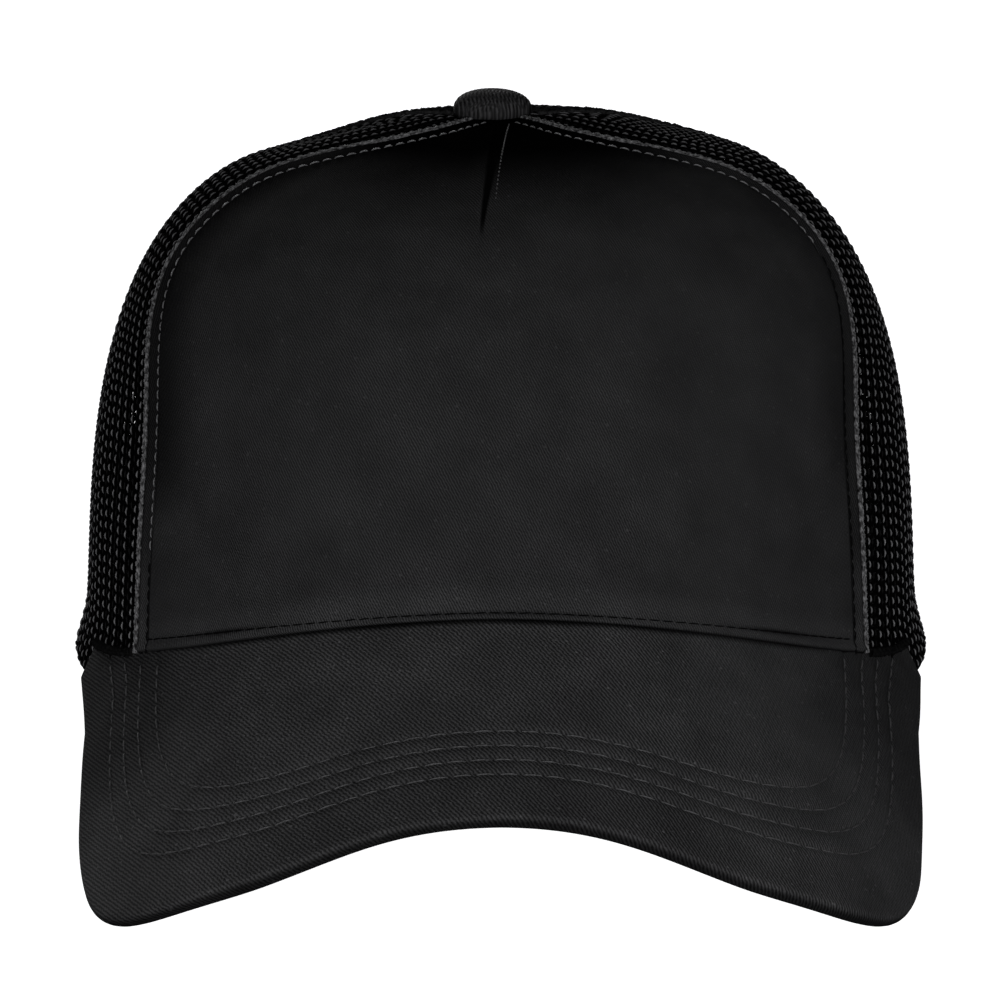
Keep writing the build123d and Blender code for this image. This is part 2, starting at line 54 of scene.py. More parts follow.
def height_level(z):
    return np.arcsin(np.clip(z / HEIGHT, 0, 1) ** (LEVEL_POWER / 2))


def crown_raw(theta, phi):
    z = level_height(phi)
    share = np.clip(z / HEIGHT, 0, 1)
    spread = FLARE * np.exp(-z / FLARE_HEIGHT)
    a = HALF_WIDTH * (1 - share**SIDE_POWER) ** (1 / SIDE_POWER) + spread
    f = FRONT * (1 - share**FRONT_POWER) ** (1 / FRONT_POWER) + spread
    b = BACK * (1 - share**BACK_POWER) ** (1 / BACK_POWER) + spread
    s, c = np.sin(theta), np.cos(theta)
    r = (np.abs(s / a) ** PLAN_POWER + np.abs(c / np.where(c > 0, f, b)) ** PLAN_POWER) ** (-1 / PLAN_POWER)
    return np.stack([r * s, -r * c, z], -1)


def unit(v):
    return v / np.maximum(np.linalg.norm(v, axis=-1, keepdims=True), 1e-12)


def crown(theta, phi, out=0.0):
    """Points on the crown at azimuth theta from the front and level phi, moved out along the normal; and the normals."""
    theta, phi = np.broadcast_arrays(np.asarray(theta, float), np.asarray(phi, float))
    step = 1e-3
    phi = np.clip(phi, 0.004, math.pi / 2 - 0.004)
    along = crown_raw(theta + step, phi) - crown_raw(theta - step, phi)
    up = crown_raw(theta, phi + step) - crown_raw(theta, phi - step)
    normal = unit(np.cross(along, up))
    return crown_raw(theta, phi) + normal * np.asarray(out, float)[..., None], normal


def seam_azimuth(z):
    swing = 15.0 * np.exp(-(((z - 90.0) / 24.0) ** 2))
    gather = 24.0 * np.clip((z - 98.0) / 11.5, 0, 1) ** 3
    return np.radians(53.0 + swing - gather)


def smooth(t, low=0.0, high=1.0):
    t = np.clip((t - low) / (high - low), 0, 1)
    return t * t * (3 - 2 * t)


def ridge(distance, width):
    return np.exp(-((distance / width) ** 2))


# ------------------------------------------------------------------ the visor's shape
VISOR_RADIUS, VISOR_SLOPE = 96.1, math.radians(24.3)
VISOR_ROOT = np.array([0.0, -99.6, 25.7])
VISOR_ACROSS = np.array([1.0, 0.0, 0.0])
VISOR_UP = np.array([0.0, -math.sin(VISOR_SLOPE), math.cos(VISOR_SLOPE)])
VISOR_DOWN = np.array([0.0, -math.cos(VISOR_SLOPE), -math.sin(VISOR_SLOPE)])
VISOR_THICKNESS = 2.9
VISOR_END = 33.0


def visor_sag(x, y):
    """How far the cloth-covered visor hangs below a true cylinder: a worn peak lifts in the middle of its free edge."""
    away = np.abs(x) - 43.0
    at_edge = 2.7 * ridge(away, np.where(away < 0, 21.0, 16.0)) - 0.5
    return at_edge * smooth(-y, 97.0, 150.0)


def visor(s, u, out=0.0):
    """A point of the visor: s round its bend, u down its slope, out above its top face."""
    s, u, out = np.broadcast_arrays(np.asarray(s, float), np.asarray(u, float), np.asarray(out, float))
    turn = s / VISOR_RADIUS
    reach = VISOR_RADIUS + out
    place = (
        VISOR_ROOT
        + VISOR_ACROSS * (reach * np.sin(turn))[..., None]
        + VISOR_UP * (reach * np.cos(turn) - VISOR_RADIUS)[..., None]
        + VISOR_DOWN * u[..., None]
    )
    place[..., 2] -= visor_sag(place[..., 0], place[..., 1])
    return place


def visor_coordinates(x, y):
    """(s, u, z) of the visor's top face above or below a place in plan."""
    x = np.clip(x, -VISOR_RADIUS * 0.95, VISOR_RADIUS * 0.95)
    v = np.sqrt(VISOR_RADIUS**2 - x**2) - VISOR_RADIUS
    u = (VISOR_ROOT[1] - y - math.sin(VISOR_SLOPE) * v) / math.cos(VISOR_SLOPE)
    z = VISOR_ROOT[2] + math.cos(VISOR_SLOPE) * v - math.sin(VISOR_SLOPE) * u
    return VISOR_RADIUS * np.arcsin(x / VISOR_RADIUS), u, z


def joint(theta, drop=0.0):
    """Height where the crown meets the visor's top face, or that lowered by drop, at an azimuth."""
    z = np.full(np.shape(theta), 20.0)
    for _ in range(12):
        p = crown_raw(np.asarray(theta, float), height_level(np.clip(z, 0.05, 60)))
        z = np.clip(visor_coordinates(p[..., 0], p[..., 1])[2] - drop, 0.05, 60)
    return z


side_theta = np.radians(np.linspace(50, 80, 601))
side_points = crown_raw(side_theta, height_level(joint(side_theta)))
END_AZIMUTH = float(np.interp(VISOR_END, -side_points[::-1, 1], side_theta[::-1]))


def base_height(theta):
    """The crown's lower edge: on the visor in front, level at the sides and back."""
    away = np.abs(np.arctan2(np.sin(theta), np.cos(theta)))
    on_visor = joint(np.minimum(away, END_AZIMUTH))
    return on_visor * (1 - smooth(away, END_AZIMUTH, END_AZIMUTH + math.radians(5)))


# ------------------------------------------------------------------ meshes and materials
def make_object(name, points, faces, material, cloth=None, body="crown", replaces=(), slot=None, shade=True):
    mesh = bpy.data.meshes.new(name)
    mesh.from_pydata((np.asarray(points, float) * MM).tolist(), [], np.asarray(faces).tolist() if not isinstance(faces, list) else faces)
    mesh.validate()
    if cloth is not None:
        layer = mesh.attributes.new("cloth", "FLOAT_VECTOR", "POINT")
        layer.data.foreach_set("vector", np.asarray(cloth, np.float32).ravel())
    if shade:
        mesh.polygons.foreach_set("use_smooth", [True] * len(mesh.polygons))
    mesh.materials.append(material)
    mesh.update()
    thing = bpy.data.objects.new(name, mesh)
    bpy.context.scene.collection.objects.link(thing)
    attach(thing, body)
    if replaces:
        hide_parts(*replaces)
    return thing


def grid_faces(rows, columns, loop=False, flip=False):
    """Quads of a grid stored row by row. loop joins the last column to the first."""
    r = np.arange(rows - 1)[:, None]
    c = np.arange(columns if loop else columns - 1)[None, :]
    n = (c + 1) % columns
    quads = np.stack([r * columns + c, r * columns + n, (r + 1) * columns + n, (r + 1) * columns + c], -1).reshape(-1, 4)
    return quads[:, ::-1] if flip else quads


def cloth_sheet(name, points, cloth, material, thickness, flip=False, **how):
    """A grid of points as a sheet with a thickness, which lies behind the points."""
    rows, columns = points.shape[:2]
    thing = make_object(
        name,
        points.reshape(-1, 3),
        grid_faces(rows, columns, flip=flip),
        material,
        np.asarray(cloth).reshape(-1, 3),
        **how,
    )
    if thickness:
        solid = thing.modifiers.new("thickness", "SOLIDIFY")
        solid.thickness = thickness * MM
        solid.offset = -1
        solid.use_even_offset = False
    return thing


class Nodes:
    """Short names for making a material's node tree."""

    def __init__(self, name):
        self.material = bpy.data.materials.new(name)
        self.material.use_nodes = True
        self.tree = self.material.node_tree
        self.shader = self.tree.nodes["Principled BSDF"]

    def add(self, kind, **values):
        node = self.tree.nodes.new("ShaderNode" + kind)
        for key, value in values.items():
            setattr(node, key, value)
        return node

    def put(self, value, socket):
        if hasattr(value, "links"):
            self.tree.links.new(value, socket)
        else:
            socket.default_value = value

    def math(self, operation, *values):
        node = self.add("Math", operation=operation)
        for value, socket in zip(values, node.inputs):
            self.put(value, socket)
        return node.outputs[0]

    def coordinates(self, kind="cloth"):
        if kind == "cloth":
            return self.add("Attribute", attribute_name="cloth").outputs["Vector"]
        scaled = self.add("VectorMath", operation="SCALE")
        self.put(self.add("TexCoord").outputs["Object"], scaled.inputs[0])
        scaled.inputs["Scale"].default_value = 1000.0
        return scaled.outputs[0]

    def turned(self, vector, degrees, scale):
        node = self.add("Mapping")
        self.put(vector, node.inputs["Vector"])
        node.inputs["Rotation"].default_value = (0, 0, math.radians(degrees))
        node.inputs["Scale"].default_value = scale
        return node.outputs[0]

    def split(self, vector):
        node = self.add("SeparateXYZ")
        self.put(vector, node.inputs[0])
        return node.outputs

    def noise(self, vector, scale, detail=2.0, rough=0.5):
        node = self.add("TexNoise")
        self.put(vector, node.inputs["Vector"])
        node.inputs["Scale"].default_value = scale
        node.inputs["Detail"].default_value = detail
        node.inputs["Roughness"].default_value = rough
        return node.outputs["Fac"]

    def remap(self, value, low, high, to_low, to_high):
        node = self.add("MapRange", clamp=True)
        for socket, number in zip(node.inputs, (value, low, high, to_low, to_high)):
            self.put(number, socket)
        return node.outputs[0]

    def mix(self, share, a, b):
        node = self.add("Mix", data_type="RGBA")
        self.put(share, node.inputs[0])
        self.put(a, node.inputs[6])
        self.put(b, node.inputs[7])
        return node.outputs[2]

    def bump(self, height, distance, strength=1.0, under=None):
        node = self.add("Bump")
        node.inputs["Strength"].default_value = strength
        node.inputs["Distance"].default_value = distance * MM
        self.put(height, node.inputs["Height"])
        if under is not None:
            self.put(under, node.inputs["Normal"])
        return node.outputs[0]


def grey(level, alpha=1.0):
    return (level, level, level * 1.03, alpha)


def twill(name, low, high, angle, pitch=0.5, rough=0.9, lint=0.0, depth=0.09):
    """Black cotton twill: fine slanted ribs, each broken into yarns, with uneven dye and a few specks of lint.
    The third cloth coordinate is painted shade: how far the colour there is pulled towards black, and its gloss taken
    away with it."""
    n = Nodes(name)
    cloth = n.coordinates()
    flat = n.add("VectorMath", operation="MULTIPLY")
    n.put(cloth, flat.inputs[0])
    flat.inputs[1].default_value = (1, 1, 0)
    flat = flat.outputs[0]
    ribs = n.split(n.turned(flat, angle, (1 / pitch, 1 / pitch, 1)))
    wobble = n.math("MULTIPLY", n.noise(flat, 0.9, 2.0), 0.9)
    rib = n.math("SINE", n.math("MULTIPLY", n.math("ADD", ribs[0], wobble), 2 * math.pi))
    along = n.math("ADD", n.math("MULTIPLY", ribs[1], 0.53), n.math("MULTIPLY", ribs[0], 0.5))
    yarn = n.math("SINE", n.math("MULTIPLY", along, 2 * math.pi))
    height = n.math("ADD", n.math("MULTIPLY", rib, 0.5), n.math("MULTIPLY", yarn, 0.1))
    shade = n.remap(height, -0.5, 0.5, 0.0, 1.0)
    patches = n.noise(flat, 0.07, 4.0, 0.6)
    grain = n.noise(flat, 2.6, 3.0, 0.75)
    share = n.math("ADD", n.math("MULTIPLY", shade, 0.65), n.math("MULTIPLY", n.remap(grain, 0.3, 0.7, 0.0, 1.0), 0.35))
    share = n.math("MULTIPLY", share, n.remap(patches, 0.3, 0.7, 0.75, 1.2))
    unshaded = n.math("SUBTRACT", 1.0, n.split(cloth)[2])
    colour = n.mix(share, grey(low), grey(high))
    if lint:
        specks = n.remap(n.noise(flat, 1.0, 0.0), 0.76, 0.82, 0.0, lint)
        colour = n.mix(specks, colour, grey(0.08))
    # painted shade: the third cloth coordinate pulls the colour towards black and takes the gloss away with it
    n.put(n.mix(unshaded, grey(0.0006), colour), n.shader.inputs["Base Color"])
    n.put(n.remap(grain, 0.3, 0.7, rough - 0.08, rough + 0.08), n.shader.inputs["Roughness"])
    n.put(n.math("MULTIPLY", n.math("MULTIPLY", unshaded, unshaded), 0.02), n.shader.inputs["Specular IOR Level"])
    n.put(n.bump(grain, 0.06, 0.7, n.bump(height, depth, 1.0)), n.shader.inputs["Normal"])
    return n.material


def plain_cloth(name, low, high, scale, rough=0.8, sheen=0.02, depth=0.1):
    """Soft knitted or brushed cloth: a square weave under a fuzzy grain."""
    n = Nodes(name)
    cloth = n.coordinates()
    across = n.split(n.turned(cloth, 0, (scale, scale, 1)))
    weave = n.math(
        "MULTIPLY",
        n.math("SINE", n.math("MULTIPLY", across[0], 2 * math.pi)),
        n.math("SINE", n.math("MULTIPLY", across[1], 2 * math.pi)),
    )
    grain = n.noise(cloth, 2.6, 3.0, 0.65)
    share = n.math("ADD", n.math("MULTIPLY", n.remap(weave, -1, 1, 0, 1), 0.5), n.math("MULTIPLY", grain, 0.5))
    n.put(n.mix(share, grey(low), grey(high)), n.shader.inputs["Base Color"])
    n.put(n.remap(grain, 0.3, 0.7, rough - 0.1, rough + 0.1), n.shader.inputs["Roughness"])
    n.shader.inputs["Specular IOR Level"].default_value = 0.05
    n.shader.inputs["Sheen Weight"].default_value = sheen
    n.put(n.bump(grain, depth, 0.5, n.bump(weave, depth, 0.8)), n.shader.inputs["Normal"])
    return n.material


def yarn(name, low, high, rough=0.45, sheen=0.0, gloss=0.1, loops=False):
    """Twisted thread or knitted polyester yarn, in object space. loops: the raised loops of a knit are lit by the
    painted highlight held in the third cloth coordinate.
    """
    n = Nodes(name)
    place = n.coordinates("object")
    twist = n.noise(place, 2.2, 3.0, 0.7)
    fine = n.noise(place, 7.0, 2.0, 0.6)
    share = n.remap(twist, 0.3, 0.7, 0.0, 1.0)
    if loops:
        # painted highlight: the loops are made lighter by the third cloth coordinate, scaled by the yarn's twist
        share = n.math("MULTIPLY", n.split(n.coordinates())[2], n.remap(twist, 0.3, 0.7, 0.45, 1.0))
    n.put(n.mix(share, grey(low), grey(high)), n.shader.inputs["Base Color"])
    n.put(n.remap(fine, 0.3, 0.7, rough - 0.12, rough + 0.15), n.shader.inputs["Roughness"])
    n.shader.inputs["Specular IOR Level"].default_value = gloss
    n.shader.inputs["Sheen Weight"].default_value = sheen
    n.put(n.bump(fine, 0.05, 0.8, n.bump(twist, 0.08, 0.6)), n.shader.inputs["Normal"])
    return n.material


def moulded(name, colour, rough, metallic=0.0, depth=0.02):
    """Moulded plastic or stamped metal: a fine grain and faint scuffs."""
    n = Nodes(name)
    place = n.coordinates("object")
    grain = n.noise(place, 4.0, 3.0, 0.6)
    scuff = n.noise(n.turned(place, 20, (0.25, 2.5, 2.5)), 1.0, 4.0, 0.7)
    lighter = tuple(min(1.0, c * 1.5 + 0.004) for c in colour[:3]) + (1.0,)
    n.put(n.mix(n.remap(scuff, 0.45, 0.75, 0.0, 0.6), colour, lighter), n.shader.inputs["Base Color"])
    n.put(n.remap(scuff, 0.3, 0.8, rough - 0.06, rough + 0.14), n.shader.inputs["Roughness"])
    n.shader.inputs["Metallic"].default_value = metallic
    n.put(n.bump(grain, depth, 0.5), n.shader.inputs["Normal"])
    return n.material


panel_twill = twill("panel_twill", 0.002, 0.030, -27, rough=0.95, lint=0.15)
visor_twill = twill("visor_twill", 0.002, 0.050, 32, pitch=0.72, lint=0.5, depth=0.12)
button_twill = twill("button_twill", 0.002, 0.030, 17, pitch=0.77)
binding_twill = twill("binding_twill", 0.006, 0.024, 28)
mesh_yarn = yarn("mesh_yarn", 0.0006, 0.20, rough=0.7, gloss=0.0, loops=True)
edge_yarn = yarn("edge_yarn", 0.003, 0.13, rough=0.7, gloss=0.03, loops=True)
mesh_fold_yarn = yarn("mesh_fold_yarn", 0.0015, 0.014, rough=0.7, gloss=0.0)
mesh_yarn_dark = yarn("mesh_yarn_dark", 0.0008, 0.006, rough=0.7, gloss=0.0)
seam_yarn = yarn("seam_yarn", 0.003, 0.03, rough=0.7, gloss=0.03)
thread_black = yarn("thread_black", 0.0005, 0.003, rough=0.7, gloss=0.0)
thread_grey = yarn("thread_grey", 0.02, 0.09, rough=0.6, gloss=0.03)
visor_thread = yarn("visor_thread", 0.012, 0.06, rough=0.6, gloss=0.03)
tape_cloth = plain_cloth("tape_cloth", 0.006, 0.018, 1.6)
band_cloth = plain_cloth("band_cloth", 0.008, 0.020, 2.0, rough=0.9)
buckram_cloth = plain_cloth("buckram_cloth", 0.010, 0.035, 0.9, depth=0.25)
board_plastic = moulded("board_plastic", (0.55, 0.55, 0.52, 1), 0.5)
strap_plastic = moulded("strap_plastic", (0.012, 0.012, 0.013, 1), 0.38)
button_metal = moulded("button_metal", (0.6, 0.6, 0.61, 1), 0.35, metallic=1.0)


# ------------------------------------------------------------------ curves on the surface
def resample(points, spacing):
    """Evenly spaced points along a polyline."""
    away = np.concatenate([[0], np.cumsum(np.linalg.norm(np.diff(points, axis=0), axis=1))])
    count = max(2, int(round(away[-1] / spacing)) + 1)
    even = np.linspace(0, away[-1], count)
    return np.stack([np.interp(even, away, points[:, k]) for k in range(points.shape[1])], -1)


def frame_along(points, normals):
    """(tangent, sideways, normal) along a curve on a surface."""
    tangent = unit(np.gradient(points, axis=0))
    sideways = unit(np.cross(tangent, normals))
    return tangent, sideways, unit(np.cross(sideways, tangent))


def sweep(points, normals, profile, ends=True):
    """A closed profile of (sideways, out) swept along a curve: points, faces and cloth coordinates."""
    profile = np.asarray(profile, float)
    _, sideways, up = frame_along(points, normals)
    ring = points[:, None] + sideways[:, None] * profile[None, :, :1] + up[:, None] * profile[None, :, 1:2]
    away = np.concatenate([[0], np.cumsum(np.linalg.norm(np.diff(points, axis=0), axis=1))])
    cloth = np.zeros(ring.shape)
    cloth[..., 0] = profile[None, :, 0]
    cloth[..., 1] = away[:, None]
    faces = grid_faces(len(points), len(profile), loop=True).tolist()
    if ends:
        k = len(profile)
        faces.append(list(range(k)))
        faces.append([len(points) * k - 1 - i for i in range(k)])
    return ring.reshape(-1, 3), faces, cloth.reshape(-1, 3)


def rounded(width, low, high, steps=3, shift=0.0, crown_up=0.0):
    """A flat strip's section with round edges, from low to high out of the surface."""
    radius = (high - low) / 2
    middle = (high + low) / 2
    half = width / 2 - radius
    points = []
    for centre, start in ((half, -90), (-half, 90)):
        for i in range(steps * 2 + 1):
            angle = math.radians(start + 180 * i / (steps * 2))
            points.append((shift + centre + radius * math.cos(angle), middle + radius * math.sin(angle)))
        inner = np.linspace(centre, -centre, 5)[1:-1]
        rise = high if start == -90 else low
        lift = crown_up if start == -90 else 0.0
        points += [(shift + x, rise + lift * (1 - (x / half) ** 2)) for x in inner]
    return points


def swept_piece(name, points, normals, profile, material, **how):
    ring, faces, cloth = sweep(points, normals, profile)
    return make_object(name, ring, faces, material, cloth, **how)


def stitches(name, runs, material, length=2.3, pitch=2.9, radius=0.17, lift=0.12, body="crown", slot=None):
    """Rows of single stitches: short threads that rise out of the cloth and go back into it."""
    sides, rings = 6, 7
    along = np.linspace(-1, 1, rings)
    thickness = radius * np.sqrt(np.clip(1 - np.abs(along) ** 3.0, 0.06, 1))
    rise = lift * (1 - along**2) - radius * 0.9 * along**4
    angles = np.linspace(0, 2 * math.pi, sides, endpoint=False)
    all_points, all_faces, start = [], [], 0
    shape = grid_faces(rings, sides, loop=True)
    caps = [list(range(sides)), [rings * sides - 1 - i for i in range(sides)]]
    for points, normals in runs:
        both = resample(np.concatenate([points, normals], 1), 0.25)
        points, normals = both[:, :3], unit(both[:, 3:])
        tangent, sideways, up = frame_along(points, normals)
        total = (len(points) - 1) * 0.25
        count = int(total / pitch)
        if count < 1:
            continue
        for k in range(count):
            jitter = rng.normal(0, 0.04, 3)
            half = (length / 2) * (1 + jitter[0])
            spots = np.clip(((k + 0.5) * pitch + along * half) / 0.25, 0, len(points) - 1)
            low = np.floor(spots).astype(int)
            high = np.minimum(low + 1, len(points) - 1)
            part = (spots - low)[:, None]
            centre = points[low] * (1 - part) + points[high] * part
            side = sideways[low]
            normal = up[low]
            slant = jitter[1] * 2
            centre = centre + side * (slant * along * half * 0.4)[:, None] + normal * rise[:, None]
            ring = (
                centre[:, None]
                + side[:, None] * (np.cos(angles)[None, :, None] * thickness[:, None, None])
                + normal[:, None] * (np.sin(angles)[None, :, None] * thickness[:, None, None])
            )
            all_points.append(ring.reshape(-1, 3))
            all_faces += (shape + start).tolist() + [[i + start for i in cap] for cap in caps]
            start += rings * sides
    return make_object(name, np.concatenate(all_points), all_faces, material, body=body, slot=slot)


def ripple(x, y, longest, count=6):
    """Slow uneven swelling of stretched cloth, between -1 and 1, from waves in random directions."""
    total = np.zeros(np.shape(x))
    for _ in range(count):
        way = rng.uniform(0, math.pi)
        length = longest * rng.uniform(0.45, 1.0)
        start = rng.uniform(0, 2 * math.pi)
        total += np.sin(2 * math.pi * (x * math.cos(way) + y * math.sin(way)) / length + start)
    return total / count * 1.6


# ------------------------------------------------------------------ front panel
TOP_RADIUS = 4.0
TOP_LEVEL = math.acos((TOP_RADIUS / FRONT) ** (LEVEL_POWER / 2))


def front_grid(sides, rows, base=0.0):
    """Azimuth and level of an even grid over the front panel, with its distances along the rows and up the columns."""
    base_theta = sides * seam_azimuth(np.full(len(sides), 10.0))
    low = height_level(joint(base_theta) + base)
    t = np.linspace(0, 1, 700)[:, None]
    phi = low[None] + (TOP_LEVEL - low)[None] * t
    theta = sides[None] * seam_azimuth(level_height(phi))
    steps = np.linalg.norm(np.diff(crown_raw(theta, phi), axis=0), axis=-1)
    away = np.concatenate([np.zeros((1, len(sides))), np.cumsum(steps, axis=0)])
    even = np.linspace(0, 1, rows)
    level = np.stack([np.interp(even * away[-1, k], away[:, k], phi[:, k]) for k in range(len(sides))], 1)
    height = even[:, None] * away[-1][None]
    theta = sides[None] * seam_azimuth(level_height(level))
    across = np.linalg.norm(np.diff(crown_raw(theta, level), axis=1), axis=-1)
    run = np.concatenate([np.zeros((rows, 1)), np.cumsum(across, axis=1)], 1)
    middle = np.array([np.interp(0.0, sides, run[k]) for k in range(rows)])
    return theta, level, run - middle[:, None], height, run


SEAM_STITCH = 4.2
BASE_STITCH = (1.6, 2.8)


def base_stitch_height(theta):
    return BASE_STITCH[0] + (BASE_STITCH[1] - BASE_STITCH[0]) * smooth(np.abs(theta), 0.1, math.radians(53))


def dart_line(y):
    """Where the pleat under the button runs, across the cap, at a reach to the front."""
    return np.interp(-y, [8.0, 30.0, 61.0], [-0.6, -2.0, -4.1])


sides = np.unique(
    np.concatenate(
        [
            np.linspace(-1, 1, 231),
            np.linspace(-0.11, 0.05, 60),
            np.linspace(0.935, 1, 26),
            -np.linspace(0.935, 1, 26),
        ]
    )
)
theta, level, across, height, run = front_grid(sides, 190)
edge = np.minimum(run, run[:, -1:] - run)
place = crown_raw(theta, level)
below_button = 1 - smooth(place[..., 2], 106.5, 109.0)
out = 0.5 * ridge(edge - 1.5, 1.2) - 1.15 * (1 - smooth(edge, 0, 0.9)) - 0.2 * ridge(edge - SEAM_STITCH, 0.45)
out = out * below_button
from_base = height - base_stitch_height(theta)
out += 0.6 * (1 - smooth(height, 0, 3.2)) - 0.16 * ridge(from_base, 0.4) - 1.0 * (1 - smooth(height, 0, 0.7))
out += 0.28 * ripple(across, height, 60.0) * smooth(edge, 0, 12) * smooth(height, 0, 14)
beside = place[..., 0] - dart_line(place[..., 1])
pinch = (1 - smooth(-place[..., 1], 50, 66)) * smooth(-place[..., 1], 9, 16)
lip = 0.85 * np.exp(-np.abs(beside / 2.2) ** 1.5) * (beside < 0)
narrow = 1 - 0.65 * smooth(-place[..., 1], 30.0, 64.0)
groove = smooth(beside, -0.15, 0.1) * (1 - smooth(beside / narrow, 1.6, 2.6))
dart_dark = groove * (1 - smooth(-place[..., 1], 58, 66)) * smooth(-place[..., 1], 5, 10)
out += pinch * (lip - 0.75 * groove * (1 - 0.4 * smooth(beside, 0, 2.4)) - 0.15 * ridge(beside + 4.5, 1.6))
points, _ = crown(theta, level, out)
# shade: painted shade on the front panel. It is darker towards the top, in the dart's groove, on the rolled seam edges
# and the strip inside their stitches, and more on the side at negative x. It is also darker in the crease at the base,
# in the groove of the base stitches, and a little over all but the lowest band. The dark line under the lower seam
# stitches is their black thread's own colour.
to_top = height[-1:] - height
shade = 0.5 * (1 - smooth(to_top, 34.0, 88.0)) + 0.48 * (1 - smooth(to_top, 27.0, 55.0))
shade = np.maximum(shade, 0.95 * dart_dark)
shade = np.maximum(shade, 0.92 * (1 - smooth(edge, 0.8, 1.7)) * below_button)
dark_side = np.where(across < 0, 0.72, 0.45)
shade = np.maximum(shade, dark_side * (1 - smooth(edge, 3, 28)) * smooth(height, 14, 40))
shade = np.maximum(shade, 0.55 * (1 - smooth(edge, SEAM_STITCH - 0.4, SEAM_STITCH + 0.4)) * smooth(height, 8, 24))
shade = np.maximum(shade, 0.97 * (1 - smooth(height, 0.15, 0.8)))
shade = np.maximum(shade, 0.22 * smooth(height, 4.0, 8.0))
shade = np.maximum(shade, 0.9 * ridge(from_base, 0.16) * smooth(edge, 3.4, 4.4))
black_until = np.where(across < 0, 25.0, 88.0)
in_black = smooth(height, 0.5, 1.5) * (1 - smooth(height - black_until, -3.0, 3.0))
shade = np.maximum(shade, 0.9 * ridge(edge - SEAM_STITCH, 0.26) * in_black)
cloth = np.stack([across, height, shade], -1)
cloth_sheet(
    "front_panel_cloth", points, cloth, panel_twill, 0.55, replaces=["front_panel"], slot="twill"
)

inner_sides = np.linspace(-0.92, 0.92, 120)
theta, level, across, height, run = front_grid(inner_sides, 80, base=0.5)
lining_out = -1.2 + 0.12 * ripple(across, height, 40.0)
points, _ = crown(theta, level, lining_out)
cloth_sheet(
    "front_lining_cloth",
    points,
    np.stack([across, height, np.zeros_like(height)], -1),
    buckram_cloth,
    0.5,
    replaces=["front_buckram"],
    slot="buckram",
)


# ------------------------------------------------------------------ seams as curves on the crown
REAR_SEAM = math.radians(120.0)


def curve_on(theta, level, out=0.0, spacing=0.5):
    """Evenly spaced points and normals along a curve on the crown."""
    points, normals = crown(theta, level, out)
    both = resample(np.concatenate([points, normals], -1), spacing)
    return both[:, :3], unit(both[:, 3:])


def shifted(theta, level, distance):
    """A curve on the crown moved sideways, along its level, towards the back."""
    radius = np.linalg.norm(crown_raw(theta, level)[..., :2], axis=-1)
    side = np.sign(theta)
    return theta + side * distance / np.maximum(radius, 1.0)


def front_seam(side, low, high, distance=0.0, out=0.0, spacing=0.5, square=True):
    """The front seam between two heights, or a line beside it. distance is towards the mesh, square to the seam."""
    level = np.linspace(height_level(low), height_level(high), 900)
    z = level_height(level)
    theta = side * seam_azimuth(z)
    points, normals = crown(theta, level)
    tangent = unit(np.gradient(points, axis=0))
    sideways = unit(np.cross(tangent, normals)) * (-side)
    sideways *= np.sign(np.sum(sideways * crown_direction(theta, side), -1, keepdims=True) + 1e-9)
    points = points + sideways * distance + normals * np.asarray(out, float)[..., None]
    both = resample(np.concatenate([points, normals], -1), spacing)
    return both[:, :3], unit(both[:, 3:])


def crown_direction(theta, side):
    """The way along a level towards the back, on one side."""
    return np.stack([np.cos(theta), np.sin(theta), np.zeros_like(theta)], -1) * side


SEAM_TOP = 109.93
FOLD_TOP, SIDE_TOP, BACK_TOP = 109.985, 109.97, 109.93
SEAM_BASE = float(joint(np.array([math.radians(53.0)]))[0])

stitch_runs_upper = []
stitch_runs_lower = []
for side, change in ((1, 88.0), (-1, 32.0)):
    stitch_runs_upper.append(front_seam(side, change, SEAM_TOP, -SEAM_STITCH, 0.08, 0.25))
    stitch_runs_lower.append(front_seam(side, SEAM_BASE + 0.3, change, -SEAM_STITCH, 0.08, 0.25))
stitches("panel_stitches_upper", stitch_runs_upper, thread_grey, 1.9, 2.5, 0.15, 0.08, slot="twill")
stitches("panel_stitches_lower", stitch_runs_lower, thread_black, 2.5, 2.7, 0.16, 0.06, slot="twill")

base_theta = np.linspace(-math.radians(50.6), math.radians(50.6), 700)
base_z = joint(base_theta) + base_stitch_height(base_theta) * 0.97
base_run = curve_on(base_theta, height_level(base_z), 0.2, 0.25)
stitches("base_stitches", [base_run], thread_black, 2.7, 2.85, 0.14, 0.06, slot="twill")

dart_y = -np.linspace(12.0, 54.0, 200)
dart_x = dart_line(dart_y) + 2.5


def level_at(x, y):
    """(azimuth, level) of the crown above a place in plan."""
    low = np.full(np.shape(x), 0.01)
    high = np.full(np.shape(x), math.pi / 2 - 0.005)
    turn = np.arctan2(x, -y)
    for _ in range(40):
        middle = (low + high) / 2
        p = crown_raw(turn, middle)
        outside = np.hypot(p[..., 0], p[..., 1]) > np.hypot(x, y)
        low = np.where(outside, middle, low)
        high = np.where(outside, high, middle)
    return turn, (low + high) / 2


dart_theta, dart_level = level_at(dart_x, dart_y)
stitches("dart_stitches", [curve_on(dart_theta, dart_level, -0.1, 0.25)], visor_thread, 1.0, 1.7, 0.16, 0.14, slot="twill")

for side, word in ((1, "left"), (-1, "right")):
    points, normals = front_seam(side, SEAM_BASE, SEAM_TOP, 0.1, -0.45)
    swept_piece(f"panel_edge_{word}", points, normals, rounded(0.5, -0.2, 0.2), seam_yarn, slot="twill")


# ------------------------------------------------------------------ mesh
WALE = 4.3
COURSE = 2.3
RINGS = 6
HEM_TURN = 1.7
FLARE_MORE = 0.9


